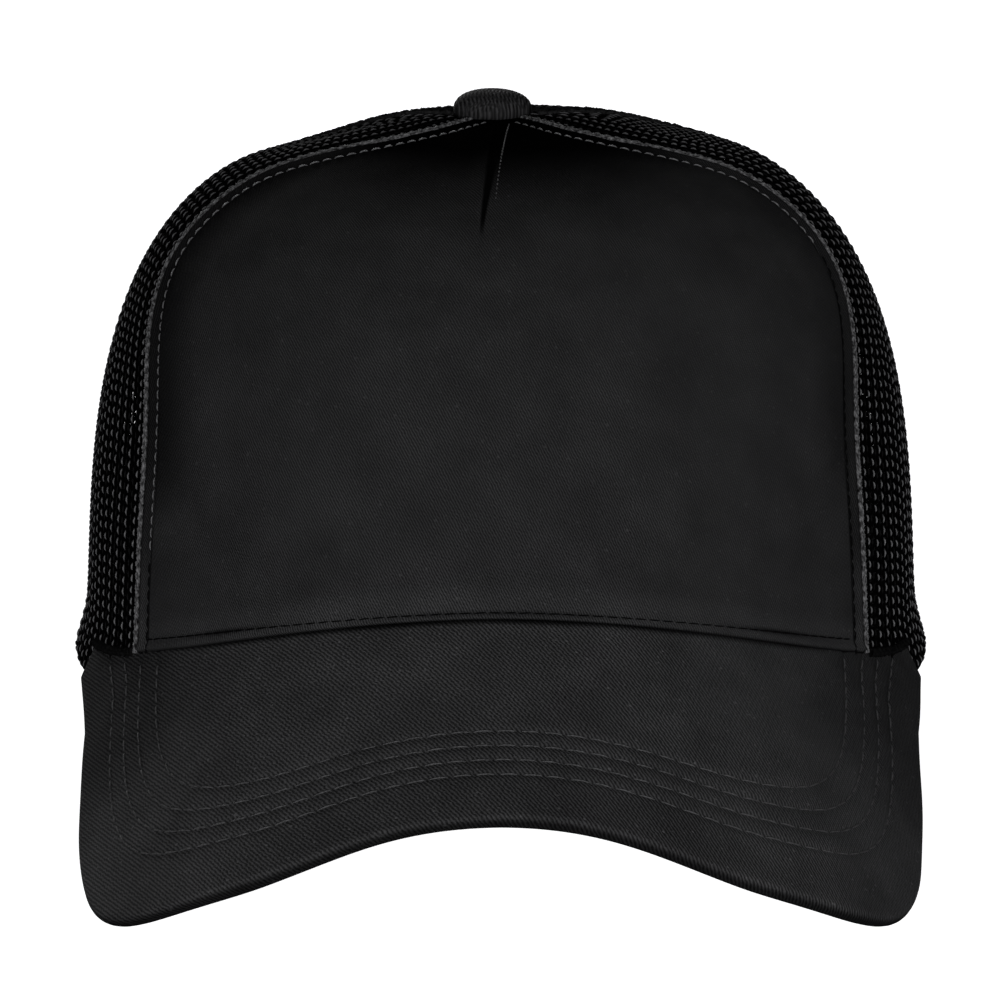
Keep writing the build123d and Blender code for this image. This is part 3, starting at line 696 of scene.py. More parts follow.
def top_sag(theta, z):
    """How far the soft mesh hangs inside the crown's outline between the button and the shoulders."""
    reach = np.abs(crown_raw(theta, height_level(np.clip(z, 0.1, HEIGHT - 0.1)))[..., 0])
    right, left = 1.5 * ridge(reach - 35.0, 12.0), 2.9 * ridge(reach - 37.0, 15.0)
    behind_seam = smooth(np.abs(theta), math.radians(62.0), math.radians(102.0))
    return (0.2 + np.where(theta > 0, right, left) * behind_seam) * smooth(z, 76.0, 98.0)


class Net:
    """The surface of one mesh panel, measured round from its front edge and up from its hem."""

    def __init__(self, start_of, end_of, side):
        self.side = side
        level = np.linspace(0.002, math.pi / 2 - 0.006, 2600)
        z = level_height(level)
        theta = start_of(z)
        path = crown_raw(theta, level)
        away = np.concatenate([[0], np.cumsum(np.linalg.norm(np.diff(path, axis=0), axis=1))])
        hem = float(np.interp(HEM_TURN, z, away))
        step = COURSE / RINGS
        self.up = np.arange(0, away[-1] - hem - 0.5, step)
        self.level = np.interp(self.up + hem, away, level)
        self.z = level_height(self.level)
        begin, end = start_of(self.z), end_of(self.z)
        share = np.linspace(0, 1, 260)
        theta = begin[:, None] + (end - begin)[:, None] * share[None]
        ring = crown_raw(theta, np.broadcast_to(self.level[:, None], theta.shape))
        self.arc = np.concatenate(
            [np.zeros((len(self.up), 1)), np.cumsum(np.linalg.norm(np.diff(ring, axis=1), axis=-1), axis=1)], 1
        )
        self.theta = theta
        self.length = self.arc[:, -1]

    def azimuth(self, row, distance):
        return self.theta_at(row, distance) * self.side

    def theta_at(self, row, distance):
        position = np.interp(distance, self.arc[row], self.theta[row])
        return position


def tube_rings(centres, sideways, up, radii, sides, flat=1.0):
    angles = np.linspace(0, 2 * math.pi, sides, endpoint=False)
    radii = np.asarray(radii)[..., None, None]
    return (
        centres[..., None, :]
        + sideways[..., None, :] * np.cos(angles)[:, None] * radii
        + up[..., None, :] * np.sin(angles)[:, None] * radii * flat
    )


def hem_curl(points, normals, count):
    """Carries the lower end of a strand on, down and in round the hem."""
    turn = np.linspace(0, 1, count + 1)[1:][::-1] * math.pi * 0.85
    out = unit(normals[0] * np.array([1.0, 1.0, 0.0]))
    centre = points[0] - out * HEM_TURN
    ring = centre + HEM_TURN * (np.cos(turn)[:, None] * out - np.sin(turn)[:, None] * np.array([0.0, 0.0, 1.0]))
    way = np.cos(turn)[:, None] * out - np.sin(turn)[:, None] * np.array([0.0, 0.0, 1.0])
    return np.concatenate([ring, points]), np.concatenate([way, normals])


def above_visor(points):
    """0 where the mesh goes in under the visor's joint, 1 clear of it: painted shade there, as it takes away the mesh's
    painted highlight.
    """
    _, _, z = visor_coordinates(points[..., 0], points[..., 1])
    return np.where(points[..., 1] < -VISOR_END + 1.0, smooth(points[..., 2] - z, 0.2, 2.2), 1.0)


def knit(name, net, gaps, node, inset=3.0, tail=1.5):
    """One mesh panel as yarn: thick wales of loops, thin wales between them and yarns that cross between the two."""
    all_points, all_faces, start = [], [], 0
    columns = []
    widest = net.length.max()
    index = 0
    distance = inset
    while distance < widest - tail:
        rows = np.nonzero(net.length - tail > distance)[0]
        rows = rows[: np.nonzero(np.diff(rows) > 1)[0][0] + 1] if (np.diff(rows) > 1).any() else rows
        theta = np.array([net.theta_at(r, distance) for r in rows])
        columns.append((rows, theta))
        index += 1
        distance = inset + index * WALE / 2
    grids = []
    all_cloth = []
    start_phase = rng.uniform(0, 2 * math.pi, len(columns) + 1)
    size = 1 + rng.normal(0, 0.15, len(columns) + 1)
    for k, (rows, theta) in enumerate(columns):
        thick = k % 2 == 1
        sides = 6 if thick else 5
        phase = net.up[rows] / COURSE * 2 * math.pi + start_phase[k]
        loop = np.clip((np.sin(phase) + 0.35) / 1.35, 0, 1) ** 0.7
        jitter = rng.normal(0, 0.06, len(rows))
        low, high = (0.17, 0.13) if thick else (0.20, 0.04)
        radius = low + high * loop * size[k] + 0.03 * jitter
        lift = (0.2 if thick else 0.05) * loop
        sway = 0.1 * np.sin(phase * 0.5 + k) + 0.08 * np.sin(net.up[rows] / 17.0 + 1.7 * k)
        radial = np.hypot(*crown_raw(theta, net.level[rows])[..., :2].T)
        turned = (theta + sway / np.maximum(radial, 3.0)) * net.side
        sink = top_sag(turned, net.z[rows]) - FLARE_MORE * (1 - smooth(net.z[rows], 1.5, 13.0))
        points, normals = crown(turned, net.level[rows], -0.35 + lift - sink)
        plain, _ = crown(theta * net.side, net.level[rows], -0.5 - sink)
        grids.append((rows, plain, normals))
        keep = ~gaps(points)
        cuts = np.nonzero(np.diff(keep.astype(int)))[0] + 1
        for part in np.split(np.arange(len(rows)), cuts):
            if len(part) < 4 or not keep[part[0]]:
                continue
            p, n, r = points[part], normals[part], radius[part]
            # glow: a painted highlight on the outer face of each raised loop, weak on the thin wales and fainter
            # towards the top. Painted shade takes it away where the mesh runs in under the visor, and its strength is
            # varied at random from loop to loop.
            glow_spread = 0.75 + 0.25 * rng.random(len(part))
            glow = smooth(loop[part], 0.25, 0.5) * above_visor(p) * (1.0 if thick else 0.05) * (1 - 0.35 * net.z[rows][part] / HEIGHT) * glow_spread
            if part[0] == 0 and rows[0] == 0:
                curl = 14
                p, n = hem_curl(p, n, curl)
                extra = net.up[0] - COURSE / RINGS * np.arange(curl, 0, -1)
                bead = np.clip((np.sin(extra / COURSE * 2 * math.pi + start_phase[k]) + 0.35) / 1.35, 0, 1) ** 0.7
                r = np.concatenate([low + high * bead, r])
                # the same painted highlight on the loops round the hem's curl
                glow = np.concatenate([smooth(bead, 0.25, 0.5) * (0.7 if thick else 0.05), glow])
            _, sideways, up = frame_along(p, n)
            ring = tube_rings(p, sideways, up, r, sides, 0.85)
            faces = grid_faces(len(p), sides, loop=True) + start
            all_points.append(ring.reshape(-1, 3))
            all_faces += faces.tolist()
            marks = np.zeros(ring.shape)
            outer = np.clip(np.sin(np.linspace(0, 2 * math.pi, sides, endpoint=False)), 0, 1) ** 2
            marks[..., 2] = glow[:, None] * outer[None]
            all_cloth.append(marks.reshape(-1, 3))
            start += len(p) * sides
    # crossing yarns, which zigzag from wale to wale
    for k in range(len(grids) - 1):
        (rows_a, a, na), (rows_b, b, _) = grids[k], grids[k + 1]
        shared = min(len(a), len(b))
        for offset in (0, RINGS // 2):
            low = np.arange(offset, shared - RINGS, RINGS)
            rise = RINGS // 2 if (k + (offset > 0)) % 2 else RINGS // 3
            high = low + rise
            begin, end, normal = a[low], b[high], na[low]
            good = ~(gaps(begin) | gaps(end))
            begin, end, normal = begin[good], end[good], normal[good]
            if not len(begin):
                continue
            t = np.linspace(0, 1, 4)[None, :, None]
            line = begin[:, None] * (1 - t) + end[:, None] * t
            sag = (0.12 * np.sin(np.pi * t)) * normal[:, None]
            line = line - sag + rng.normal(0, 0.02, line.shape)
            way = unit(end - begin)
            sideways = unit(np.cross(way, normal))
            sideways = np.broadcast_to(sideways[:, None], line.shape)
            up = np.broadcast_to(normal[:, None], line.shape)
            radius = np.full(line.shape[:2], 0.31)
            ring = tube_rings(line, sideways, up, radius, 4)
            shape = grid_faces(4, 4, loop=True)
            each = 16
            faces = shape[None] + (start + each * np.arange(len(begin)))[:, None, None]
            all_points.append(ring.reshape(-1, 3))
            all_faces += faces.reshape(-1, 4).tolist()
            all_cloth.append(np.zeros((each * len(begin), 3)))
            start += each * len(begin)
    return make_object(
        name,
        np.concatenate(all_points),
        all_faces,
        mesh_yarn,
        np.concatenate(all_cloth),
        replaces=[node],
        slot="mesh",
    )


OPENING_HALF, OPENING_STRAIGHT, OPENING_ARCH = 48.0, 20.0, 28.0


def in_opening(points, grow=0.0):
    x, y, z = points[..., 0], points[..., 1], points[..., 2]
    half = OPENING_HALF + grow
    arch = np.sqrt(np.clip(1 - (x / half) ** 2, 0, 1)) * (OPENING_ARCH + grow)
    return (y > 0) & (np.abs(x) < half) & (z < OPENING_STRAIGHT + arch)


def below_visor(points):
    _, u, z = visor_coordinates(points[..., 0], points[..., 1])
    return (points[..., 1] < -VISOR_END + 1.0) & (points[..., 2] < z - 1.2)


def side_gaps(points):
    return below_visor(points)


def rear_gaps(points):
    return in_opening(points, 1.0)


for side, word in ((1, "left"), (-1, "right")):
    side_net = Net(seam_azimuth, lambda z: np.full(np.shape(z), REAR_SEAM), side)
    knit(f"side_mesh_{word}_net", side_net, side_gaps, f"side_mesh_{word}", inset=1.9)
    rear_net = Net(lambda z: np.full(np.shape(z), REAR_SEAM), lambda z: np.full(np.shape(z), math.pi), side)
    knit(f"rear_mesh_{word}_net", rear_net, rear_gaps, f"rear_mesh_{word}", inset=1.3)


def lumpy_strip(name, points, normals, width, low, high, material, pitch=COURSE, rough=0.22, **how):
    """A folded edge of mesh: a soft strip with the loops of the knit showing as lumps."""
    profile = np.array(rounded(width, low, high, steps=4))
    both = resample(np.concatenate([points, normals], 1), 0.34)
    points, normals = both[:, :3], unit(both[:, 3:])
    ring, faces, cloth = sweep(points, normals, profile)
    _, sideways, up = frame_along(points, normals)
    k = len(profile)
    ring = ring.reshape(len(points), k, 3)
    middle = points + up * (low + high) / 2
    away = np.arange(len(points)) * 0.34
    loops = np.sin(away / pitch * 2 * math.pi)[:, None] * np.where(profile[:, 0] > 0, 1, -1)[None]
    grain = rng.normal(0, 1, (len(points), k))
    ring = ring + unit(ring - middle[:, None]) * (rough * 0.7 * loops + rough * 0.5 * grain)[..., None]
    marks = cloth.reshape(len(points), k, 3).copy()
    # third cloth coordinate: partly a painted highlight on the knit's lumps, partly random grain; only a yarn made with
    # loops reads it
    marks[..., 2] = np.clip(0.38 + 0.2 * loops + 0.36 * grain, 0, 1)
    return make_object(name, ring.reshape(-1, 3), faces, material, marks.reshape(-1, 3), **how)


for side, word in ((1, "left"), (-1, "right")):
    points, normals = front_seam(side, 2.5, FOLD_TOP, 1.0, 0.0)
    keep = ~below_visor(points - np.array([0, 0, 1.0]))
    lumpy_strip(f"front_fold_{word}", points[keep], normals[keep], 1.0, -0.55, 0.3, edge_yarn, rough=0.16, slot="mesh")
    level = np.linspace(height_level(1.5), height_level(SIDE_TOP), 1200)
    for name, shift in ((f"rear_fold_{word}_front", -1.5), (f"rear_fold_{word}_back", 1.5)):
        theta = side * (REAR_SEAM + 0 * level)
        points, normals = crown(theta, level, -top_sag(theta, level_height(level)))
        tangent = unit(np.gradient(points, axis=0))
        sideways = unit(np.cross(tangent, normals)) * -side
        points = points + sideways * shift
        lumpy_strip(name, points, normals, 2.4, -0.6, 0.4, mesh_fold_yarn, slot="mesh")

level = np.linspace(height_level(OPENING_STRAIGHT + OPENING_ARCH + 4), height_level(BACK_TOP), 900)
for name, shift in (("back_fold_left", 1.9), ("back_fold_right", -1.9)):
    points, normals = crown(math.pi + 0 * level, level)
    lumpy_strip(name, points + np.array([shift, 0, 0]), normals, 3.2, -0.6, 0.5, mesh_fold_yarn, slot="mesh")

for side, word in ((1, "left"), (-1, "right")):
    theta = np.linspace(math.radians(54.0), END_AZIMUTH + math.radians(1.0), 200)
    z = joint(theta) + 0.3
    points, normals = crown(theta * side, height_level(z), 0.15)
    lumpy_strip(f"mesh_base_{word}", points, normals, 1.8, -0.9, 0.85, mesh_yarn_dark, rough=0.14, slot="mesh")

for side, word in ((1, "left"), (-1, "right")):
    rear_end = math.atan2(OPENING_HALF + 3.0, -85.0)
    theta = np.linspace(END_AZIMUTH - math.radians(4), rear_end, 500) * side
    points, normals = crown(theta, np.full(len(theta), height_level(HEM_TURN)))
    flat = unit(normals * np.array([1.0, 1.0, 0.0]))
    points = points - flat * HEM_TURN
    lumpy_strip(f"mesh_hem_{word}", points, flat, 2.9, -1.45, 1.4, seam_yarn, rough=0.12, slot="mesh")

for side, word in ((1, "left"), (-1, "right")):
    runs = []
    level = np.linspace(height_level(6.0), height_level(SIDE_TOP), 1200)
    for shift in (-2.0, 2.0):
        theta = side * (REAR_SEAM + 0 * level)
        points, normals = crown(theta, level, 0.3 - top_sag(theta, level_height(level)))
        sideways = unit(np.cross(unit(np.gradient(points, axis=0)), normals)) * -side
        runs.append((points + sideways * shift, normals))
    stitches(f"rear_seam_stitches_{word}", runs, thread_black, 2.2, 2.8, 0.17, 0.15, slot="mesh")


# ------------------------------------------------------------------ tapes inside the seams
def tape(name, points, normals, node):
    swept_piece(
        name, points, normals, rounded(10.0, -1.75, -1.1, crown_up=-0.1), tape_cloth, replaces=[node], slot="tape"
    )


for side, word in ((1, "left"), (-1, "right")):
    points, normals = front_seam(side, SEAM_BASE + 1.0, FOLD_TOP, 0.0, 0.0, 1.2)
    tape(f"front_tape_{word}_cloth", points, normals, f"front_seam_tape_{word}")
    theta = side * (REAR_SEAM + 0 * level)
    points, normals = curve_on(theta, level, -top_sag(theta, level_height(level)), 1.2)
    tape(f"side_tape_{word}_cloth", points, normals, f"side_seam_tape_{word}")
level = np.linspace(height_level(56.0), height_level(BACK_TOP), 700)
points, normals = curve_on(math.pi + 0 * level, level, 0.0, 1.2)
tape("back_tape_cloth", points, normals, "back_seam_tape")


# ------------------------------------------------------------------ rear opening and its binding
def back_azimuth(x, z):
    """Azimuth of the crown at the back, at a distance across and a height."""
    share = np.clip(z / HEIGHT, 0, 1)
    spread = FLARE * np.exp(-z / FLARE_HEIGHT)
    a = HALF_WIDTH * (1 - share**SIDE_POWER) ** (1 / SIDE_POWER) + spread
    b = BACK * (1 - share**BACK_POWER) ** (1 / BACK_POWER) + spread
    y = b * (1 - np.abs(x / a) ** PLAN_POWER) ** (1 / PLAN_POWER)
    return np.arctan2(x, -y)


def opening_curve(grow, out=0.0, spacing=0.5):
    """The edge of the opening, or a line beside it, from the wearer's left to the right."""
    half, arch = OPENING_HALF + grow, OPENING_ARCH + grow
    turn = np.linspace(0, math.pi, 600)
    x = np.concatenate([np.full(40, half), half * np.cos(turn), np.full(40, -half)])
    z = np.concatenate(
        [np.linspace(0.6, OPENING_STRAIGHT, 41)[:-1], OPENING_STRAIGHT + arch * np.sin(turn), np.linspace(OPENING_STRAIGHT, 0.6, 41)[1:]]
    )
    return curve_on(back_azimuth(x, z), height_level(z), out, spacing)


points, normals = opening_curve(3.0, -0.5)
section = rounded(8.0, -1.15, 1.15, steps=4, crown_up=0.12)
ring, faces, cloth = sweep(points, normals, section)
ring[:, 2] = np.maximum(ring[:, 2], 0.3)
make_object(
    "opening_binding_cloth", ring, faces, binding_twill, cloth, replaces=["opening_binding"], slot="binding"
)
stitches("binding_stitches", [opening_curve(5.2, 0.62, 0.25)], thread_black, 2.2, 2.8, 0.17, 0.15, slot="binding")

# ------------------------------------------------------------------ sweatband
BAND_HEIGHT = 32.0
BAND_END_X = 61.5
band_end = float(back_azimuth(np.array([BAND_END_X]), np.array([10.0]))[0])
theta = np.linspace(-band_end, band_end, 520)
band_low = np.maximum(base_height(theta) - VISOR_THICKNESS, 0.4)
section = np.array(
    [(0.0, -2.6), (1.2, -2.15), (10.0, -2.1), (22.0, -2.1), (31.0, -2.15), (32.0, -2.5), (31.6, -3.1)]
    + [(29.5, -3.5), (26.0, -3.85), (18.0, -4.1), (10.0, -4.0), (5.0, -3.7), (3.6, -3.4), (2.4, -3.75), (0.8, -3.4)]
)
band_theta = np.broadcast_to(theta[:, None], (len(theta), len(section)))
band_z = band_low[:, None] + section[None, :, 0]
pucker = 0.18 * np.sin(band_theta * 60.0) * np.clip((-section[None, :, 1] - 3.0), 0, 1)
points, _ = crown(band_theta, height_level(band_z), section[None, :, 1] - pucker)
run = np.concatenate([[0], np.cumsum(np.linalg.norm(np.diff(points[:, 0], axis=0), axis=1))])
cloth = np.stack([run[:, None] + 0 * band_z, band_z, np.zeros_like(band_z)], -1)
count = len(section)
faces = grid_faces(len(theta), count, loop=True).tolist()
faces += [list(range(count)), [len(theta) * count - 1 - i for i in range(count)]]
make_object(
    "sweatband_cloth",
    points.reshape(-1, 3),
    faces,
    band_cloth,
    cloth.reshape(-1, 3),
    replaces=["sweatband"],
    slot="sweatband",
)
band_runs = []
for h, depth in ((3.6, -3.5), (29.0, -3.62)):
    points, normals = crown(theta, height_level(band_low + h), depth)
    band_runs.append((points, -normals))
stitches("sweatband_stitches", band_runs, thread_grey, 2.0, 2.7, 0.16, 0.12, slot="sweatband")

# ------------------------------------------------------------------ visor
VISOR_HALF_WIDTH, VISOR_WIDEST, VISOR_REACH = 98.9, -29.0, 86.3
VISOR_SIDE_POWER, VISOR_FRONT_POWER = 5.6, 3.0
LIP = VISOR_THICKNESS / 2
LIP_SWELL = 1.6
STITCH_FRONT = (13.5, 17.9, 22.3, 26.7)
STITCH_SIDE = (10.5, 14.9, 19.2, 24.3)


def visor_outline(from_side, from_front):
    """A line beside the visor's edge, as (s, u) from the wearer's left to the right."""
    turn = np.linspace(0, math.pi, 1400)
    half, reach = VISOR_HALF_WIDTH - from_side, VISOR_REACH - from_front
    s = half * np.sign(np.cos(turn)) * np.abs(np.cos(turn)) ** (2 / VISOR_SIDE_POWER)
    u = VISOR_WIDEST + reach * np.sin(turn) ** (2 / VISOR_FRONT_POWER)
    back = np.linspace(-60, VISOR_WIDEST, 60, endpoint=False)
    spread = 5.0 * (VISOR_WIDEST - back) / 31.0
    left = np.stack([half + spread, back], -1)
    right = np.stack([-half - spread[::-1], back[::-1]], -1)
    return resample(np.concatenate([left, np.stack([s, u], -1), right]), 0.5)


def plan_of(line, out=0.0):
    return visor(line[:, 0], line[:, 1], out)


def inward(line):
    """Unit directions across a line in (s, u), towards the crown."""
    tangent = unit(np.gradient(line, axis=0))
    return np.stack([-tangent[:, 1], tangent[:, 0]], -1)


edge_line = visor_outline(0.0, 0.0)
edge_plan = plan_of(edge_line)
ahead = edge_plan[:, 1] < -VISOR_END
edge_line = edge_line[ahead]
to_inside = inward(edge_line)
if np.sum(to_inside[len(to_inside) // 2] * np.array([0, -1])) < 0:
    to_inside = -to_inside
rim_line = edge_line + to_inside * (LIP - LIP_SWELL * np.abs(np.sin(edge_line[:, :1] / VISOR_RADIUS)) ** 2)
rim_plan = plan_of(rim_line)
rim_theta = np.arctan2(rim_plan[:, 0], -rim_plan[:, 1])


def inner_line(depth):
    """Where the visor's face runs in under the crown, opposite each point of the rim."""
    z = joint(rim_theta)
    p, n = crown(rim_theta, height_level(z))
    p = p - unit(n * np.array([1.0, 1.0, 0.0])) * depth
    s, u, _ = visor_coordinates(p[:, 0], p[:, 1])
    return np.stack([s, u], -1)


def nearest(line, targets):
    """Distance of each target to a line, both in (s, u)."""
    from mathutils.kdtree import KDTree

    tree = KDTree(len(line))
    for i, (s, u) in enumerate(line):
        tree.insert((s, u, 0.0), i)
    tree.balance()
    flat = targets.reshape(-1, 2)
    found = np.array([tree.find((s, u, 0.0))[2] for s, u in flat])
    return found.reshape(targets.shape[:-1])


stitch_lines = [visor_outline(side, front) for side, front in zip(STITCH_SIDE, STITCH_FRONT)]
begin = inner_line(2.2)
share = np.linspace(0, 1, 105)[:, None, None]
flat = begin[None] * (1 - share) + rim_line[None] * share
dip = np.zeros(flat.shape[:2])
for line in stitch_lines:
    dip += 0.3 * ridge(nearest(line, flat), 0.75)
swell = 0.22 * ripple(flat[..., 0], flat[..., 1], 55.0)
top = visor(flat[..., 0], flat[..., 1], swell - dip)
# shade: painted shade on the visor's top. It is deepest next to the crown, where the visor runs in under it, darker
# towards its rear sides, and a little darker down the middle towards the front edge.
wall = np.linalg.norm(flat - begin[None], axis=-1)
at_side = smooth(np.abs(flat[..., 0]), 55, 80) * (1 - smooth(flat[..., 1], -15, 20))
shade = np.maximum(0.9 * (1 - smooth(wall, 2.4, 4.2)), 0.42 * at_side)
shade = np.maximum(shade, 0.2 * (1 - smooth(np.abs(flat[..., 0]), 20, 60)) * smooth(flat[..., 1], 10, 50))
cloth = np.concatenate([flat, shade[..., None]], -1)
turns = np.linspace(0, 1, 11)[1:] * math.pi
lip_points, lip_cloth = [], []
last_swell = swell[-1] - dip[-1]
for turn in turns:
    place = rim_line - to_inside * (LIP * math.sin(turn))
    fade = (1 + math.cos(turn)) / 2
    lip_points.append(visor(place[:, 0], place[:, 1], -LIP + LIP * math.cos(turn) + last_swell * fade))
    # dark: painted shade on the lip, deepening as it turns under towards the visor's bottom face
    dark = np.maximum(shade[-1][:, None], 0.85 * smooth(turn / math.pi, 0.05, 0.4))
    lip_cloth.append(np.concatenate([rim_line - to_inside * (LIP * turn), dark], -1))
top = np.concatenate([top, np.array(lip_points)])
cloth = np.concatenate([cloth, np.array(lip_cloth)])
cloth_sheet(
    "visor_top_cloth", top, cloth, visor_twill, 0.0, replaces=["visor_top_cover"], slot="visor_twill"
)

begin = inner_line(3.4)
share = np.linspace(0, 1, 70)[:, None, None]
flat = begin[None] * (1 - share) + (rim_line + to_inside * 0.2)[None] * share
dip = np.zeros(flat.shape[:2])
for line in stitch_lines:
    dip += 0.25 * ridge(nearest(line, flat), 0.75)
swell = 0.2 * ripple(flat[..., 0], flat[..., 1], 55.0)
bottom = visor(flat[..., 0], flat[..., 1], -VISOR_THICKNESS - 0.15 * share[..., 0] - swell + dip)
cloth = np.concatenate([flat, np.zeros(flat.shape[:2] + (1,))], -1)
cloth_sheet(
    "visor_bottom_cloth",
    bottom,
    cloth,
    visor_twill,
    0.0,
    flip=True,
    replaces=["visor_bottom_cover"],
    slot="visor_twill",
)


board_line = rim_line + to_inside * 0.3
board_flat = inner_line(2.4)[None] * (1 - share) + board_line[None] * share
board_top = visor(board_flat[..., 0], board_flat[..., 1], -0.75)
cloth_sheet(
    "visor_board_core",
    board_top,
    np.concatenate([board_flat, np.zeros(board_flat.shape[:2] + (1,))], -1),
    board_plastic,
    1.35,
    replaces=["visor_board"],
    slot="board",
)


def visor_normals(line):
    turn = line[:, 0] / VISOR_RADIUS
    return VISOR_ACROSS * np.sin(turn)[:, None] + VISOR_UP * np.cos(turn)[:, None]


for index, line in enumerate(stitch_lines):
    plan = plan_of(line)
    s, u = line[:, 0], line[:, 1]
    crown_theta = np.arctan2(plan[:, 0], -plan[:, 1])
    wall = crown_raw(crown_theta, height_level(joint(crown_theta)))
    outside = np.hypot(plan[:, 0], plan[:, 1]) > np.hypot(wall[:, 0], wall[:, 1]) + 0.5
    good = (plan[:, 1] < -VISOR_END) & outside
    line = line[good]
    normals = visor_normals(line)
    stitches(f"visor_stitches_{index + 1}", [(plan_of(line, -0.2), normals)], visor_thread, 3.8, 4.4, 0.17, 0.12, slot="visor_twill")
    under = plan_of(line, -VISOR_THICKNESS + 0.05)
    stitches(f"visor_under_stitches_{index + 1}", [(under, -normals)], thread_black, 3.4, 4.3, 0.18, 0.14, slot="visor_twill")

# ------------------------------------------------------------------ button
BUTTON_RADIUS, BUTTON_HEIGHT, BUTTON_EDGE = 7.9, 5.3, 1.2
BUTTON_SHIFT = -1.8
rows, columns = 40, 120
t = np.linspace(0, 0.99, rows)
over = np.clip((t - 0.15) / 0.85, 0, 1) * math.pi / 2
profile_r = np.where(t < 0.15, BUTTON_RADIUS - 0.5 * (1 - t / 0.15) ** 2, BUTTON_RADIUS * np.cos(over) ** 0.85)
profile_z = np.where(t < 0.15, BUTTON_EDGE * t / 0.15, BUTTON_EDGE + (BUTTON_HEIGHT - BUTTON_EDGE) * np.sin(over) ** 0.85)
turn = np.linspace(0, 2 * math.pi, columns, endpoint=False)
wobble = 1 + 0.018 * np.sin(3 * turn + 0.6) + 0.012 * np.sin(5 * turn + 2.0) + 0.006 * np.sin(11 * turn)
radius = profile_r[:, None] * (1 + (wobble - 1)[None] * np.clip(1 - t, 0, 1)[:, None])
x, y = radius * np.cos(turn), radius * np.sin(turn)
bent = x - 0.045 * y * y - 0.1 * y
rib_wave = np.sin(bent * 2 * math.pi / 0.72)
lift = 0.07 * rib_wave * smooth(t, 0.0, 0.3)[:, None]
z = HEIGHT - 0.4 + profile_z[:, None] + lift
points = np.stack([x + BUTTON_SHIFT, y, z], -1)
# dark: painted shade at the button's foot and in the grooves between its ribs
dark = np.maximum(0.5 * (1 - smooth(t, 0.0, 0.3))[:, None], 0.7 * smooth(-rib_wave, 0.0, 0.8))
cloth = np.stack([bent, y, dark], -1)
faces = grid_faces(rows, columns, loop=True).tolist()
faces.append(list(range((rows - 1) * columns, rows * columns)))
make_object(
    "button_cloth", points.reshape(-1, 3), faces, button_twill, cloth.reshape(-1, 3), replaces=["button_cover"], slot="twill"
)

SHELL_GAP = 0.7
shell_turn = np.linspace(0, math.pi / 2 * 0.99, 18)
shell_r = (BUTTON_RADIUS - SHELL_GAP) * np.cos(shell_turn) ** 0.85
shell_z = (BUTTON_HEIGHT - SHELL_GAP) * np.sin(shell_turn) ** 0.85
turn = np.linspace(0, 2 * math.pi, 64, endpoint=False)
x, y = shell_r[:, None] * np.cos(turn), shell_r[:, None] * np.sin(turn)
points = np.stack([x + BUTTON_SHIFT, y, HEIGHT - 0.3 + shell_z[:, None] + 0 * x], -1)
faces = grid_faces(18, 64, loop=True).tolist() + [list(range(17 * 64, 18 * 64))]
make_object(
    "button_shell_dome", points.reshape(-1, 3), faces, button_metal, replaces=["button_shell"], slot="button_metal"
)

# ------------------------------------------------------------------ moulded and stamped pieces keep the CAD's shape
hard = {
    "strap_tab_left": (strap_plastic, "strap"),
    "strap_tab_right": (strap_plastic, "strap"),
    "holed_strap": (strap_plastic, "strap"),
    "stud_strap": (strap_plastic, "strap"),
    "button_back": (button_metal, "button_metal"),
}
for node, (material, name) in hard.items():
    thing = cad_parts[node]
    thing.data.materials.clear()
    thing.data.materials.append(material)

# ------------------------------------------------------------------ floor, light and camera
LOOK_AT = np.array([-0.2, 6.2, 29.05]) * MM
ELEVATION = math.radians(12.0)
DISTANCE = 1.5
LENS = 263.8
FLOOR_GLOW = 0.80  # backlit paper: the floor lights itself this much towards the camera

mesh = bpy.data.meshes.new("floor")
rear_rim = 99.0
lean = float(np.max(-top[..., 2] / (rear_rim - top[..., 1])))
reach = 6.0
corners = [(-reach, -reach), (reach, -reach), (reach, reach), (-reach, reach)]
mesh.from_pydata([(x, y, (y - rear_rim * MM) * lean - 0.0006) for x, y in corners], [], [(0, 1, 2, 3)])
floor = bpy.data.objects.new("floor", mesh)
bpy.context.scene.collection.objects.link(floor)
n = Nodes("floor_paper")
place = n.coordinates("object")
n.put(n.mix(n.noise(place, 0.02, 2.0), grey(0.80), grey(0.84)), n.shader.inputs["Base Color"])
n.shader.inputs["Roughness"].default_value = 0.9
n.shader.inputs["Specular IOR Level"].default_value = 0.1
seen_share = n.math("MULTIPLY", n.add("LightPath").outputs["Is Camera Ray"], FLOOR_GLOW)
n.shader.inputs["Emission Color"].default_value = (1, 1, 1, 1)
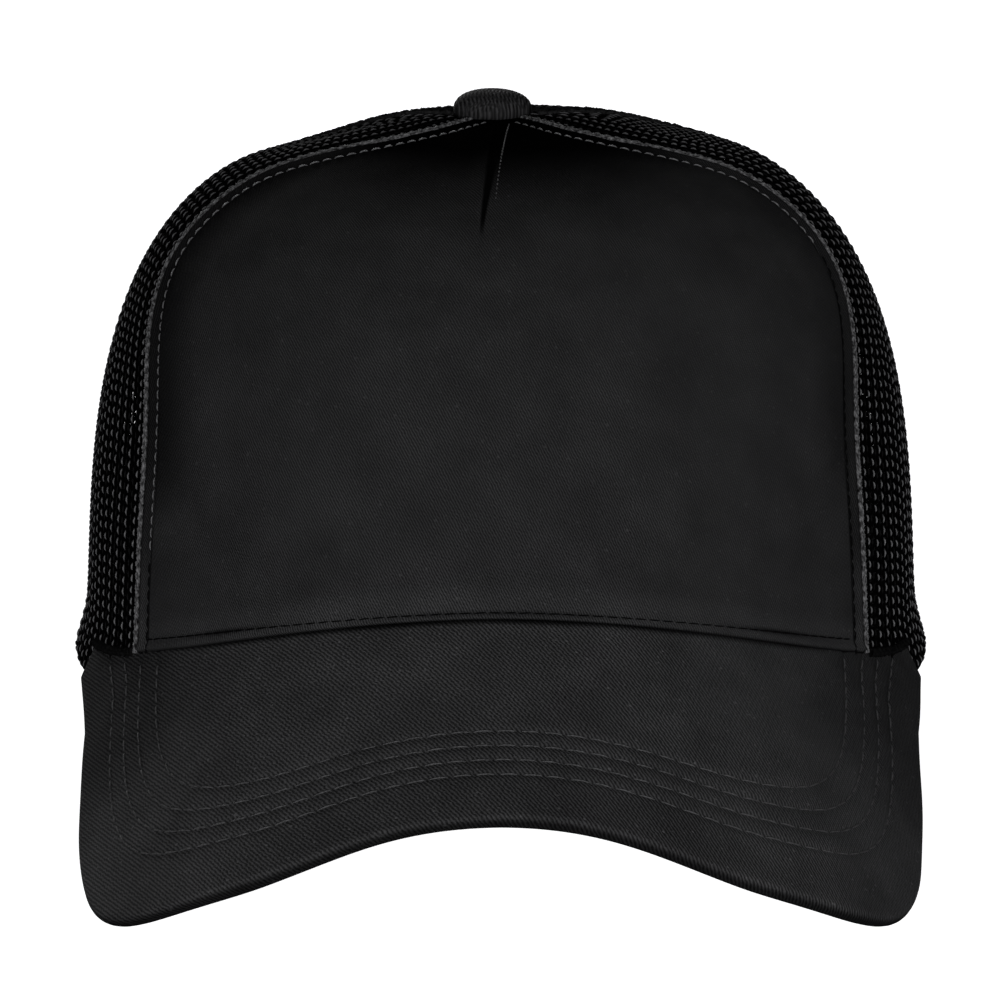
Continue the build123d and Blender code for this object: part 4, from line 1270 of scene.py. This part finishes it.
n.put(seen_share, n.shader.inputs["Emission Strength"])
mesh.materials.append(n.material)

world = bpy.data.worlds.new("studio")
bpy.context.scene.world = world
world.use_nodes = True
tree = world.node_tree
tree.nodes.clear()
path = tree.nodes.new("ShaderNodeLightPath")
seen = tree.nodes.new("ShaderNodeBackground")
seen.inputs["Color"].default_value = (1, 1, 1, 1)
seen.inputs["Strength"].default_value = 1.0
glow = tree.nodes.new("ShaderNodeBackground")
glow.inputs["Color"].default_value = (1, 1, 1, 1)
glow.inputs["Strength"].default_value = 0.12
blend = tree.nodes.new("ShaderNodeMixShader")
output = tree.nodes.new("ShaderNodeOutputWorld")
tree.links.new(path.outputs["Is Camera Ray"], blend.inputs[0])
tree.links.new(glow.outputs[0], blend.inputs[1])
tree.links.new(seen.outputs[0], blend.inputs[2])
tree.links.new(blend.outputs[0], output.inputs["Surface"])


def soft_light(name, place, aim, width, tall, watts):
    data = bpy.data.lights.new(name, "AREA")
    data.shape = "RECTANGLE"
    data.size, data.size_y = width, tall
    data.energy = watts
    thing = bpy.data.objects.new(name, data)
    bpy.context.scene.collection.objects.link(thing)
    thing.location = place
    direction = np.array(aim) - np.array(place)
    from mathutils import Vector

    thing.rotation_euler = Vector(direction).to_track_quat("-Z", "Y").to_euler()
    return thing


centre = (0.0, 0.0, 0.04)
soft_light("front_light", (0.1, -2.4, 0.34), centre, 1.0, 0.6, 72)
soft_light("rear_light", (-0.5, 2.4, 0.7), centre, 1.2, 0.8, 60)

camera_data = bpy.data.cameras.new("camera")
camera_data.lens = LENS
camera_data.sensor_width = 36.0
camera_data.clip_start, camera_data.clip_end = 0.05, 30.0
camera = bpy.data.objects.new("camera", camera_data)
bpy.context.scene.collection.objects.link(camera)
camera.location = LOOK_AT + DISTANCE * np.array([0.0, -math.cos(ELEVATION), math.sin(ELEVATION)])
camera.rotation_euler = (math.pi / 2 - ELEVATION, 0.0, 0.0)
bpy.context.scene.camera = camera
bpy.context.scene.view_settings.view_transform = "Standard"
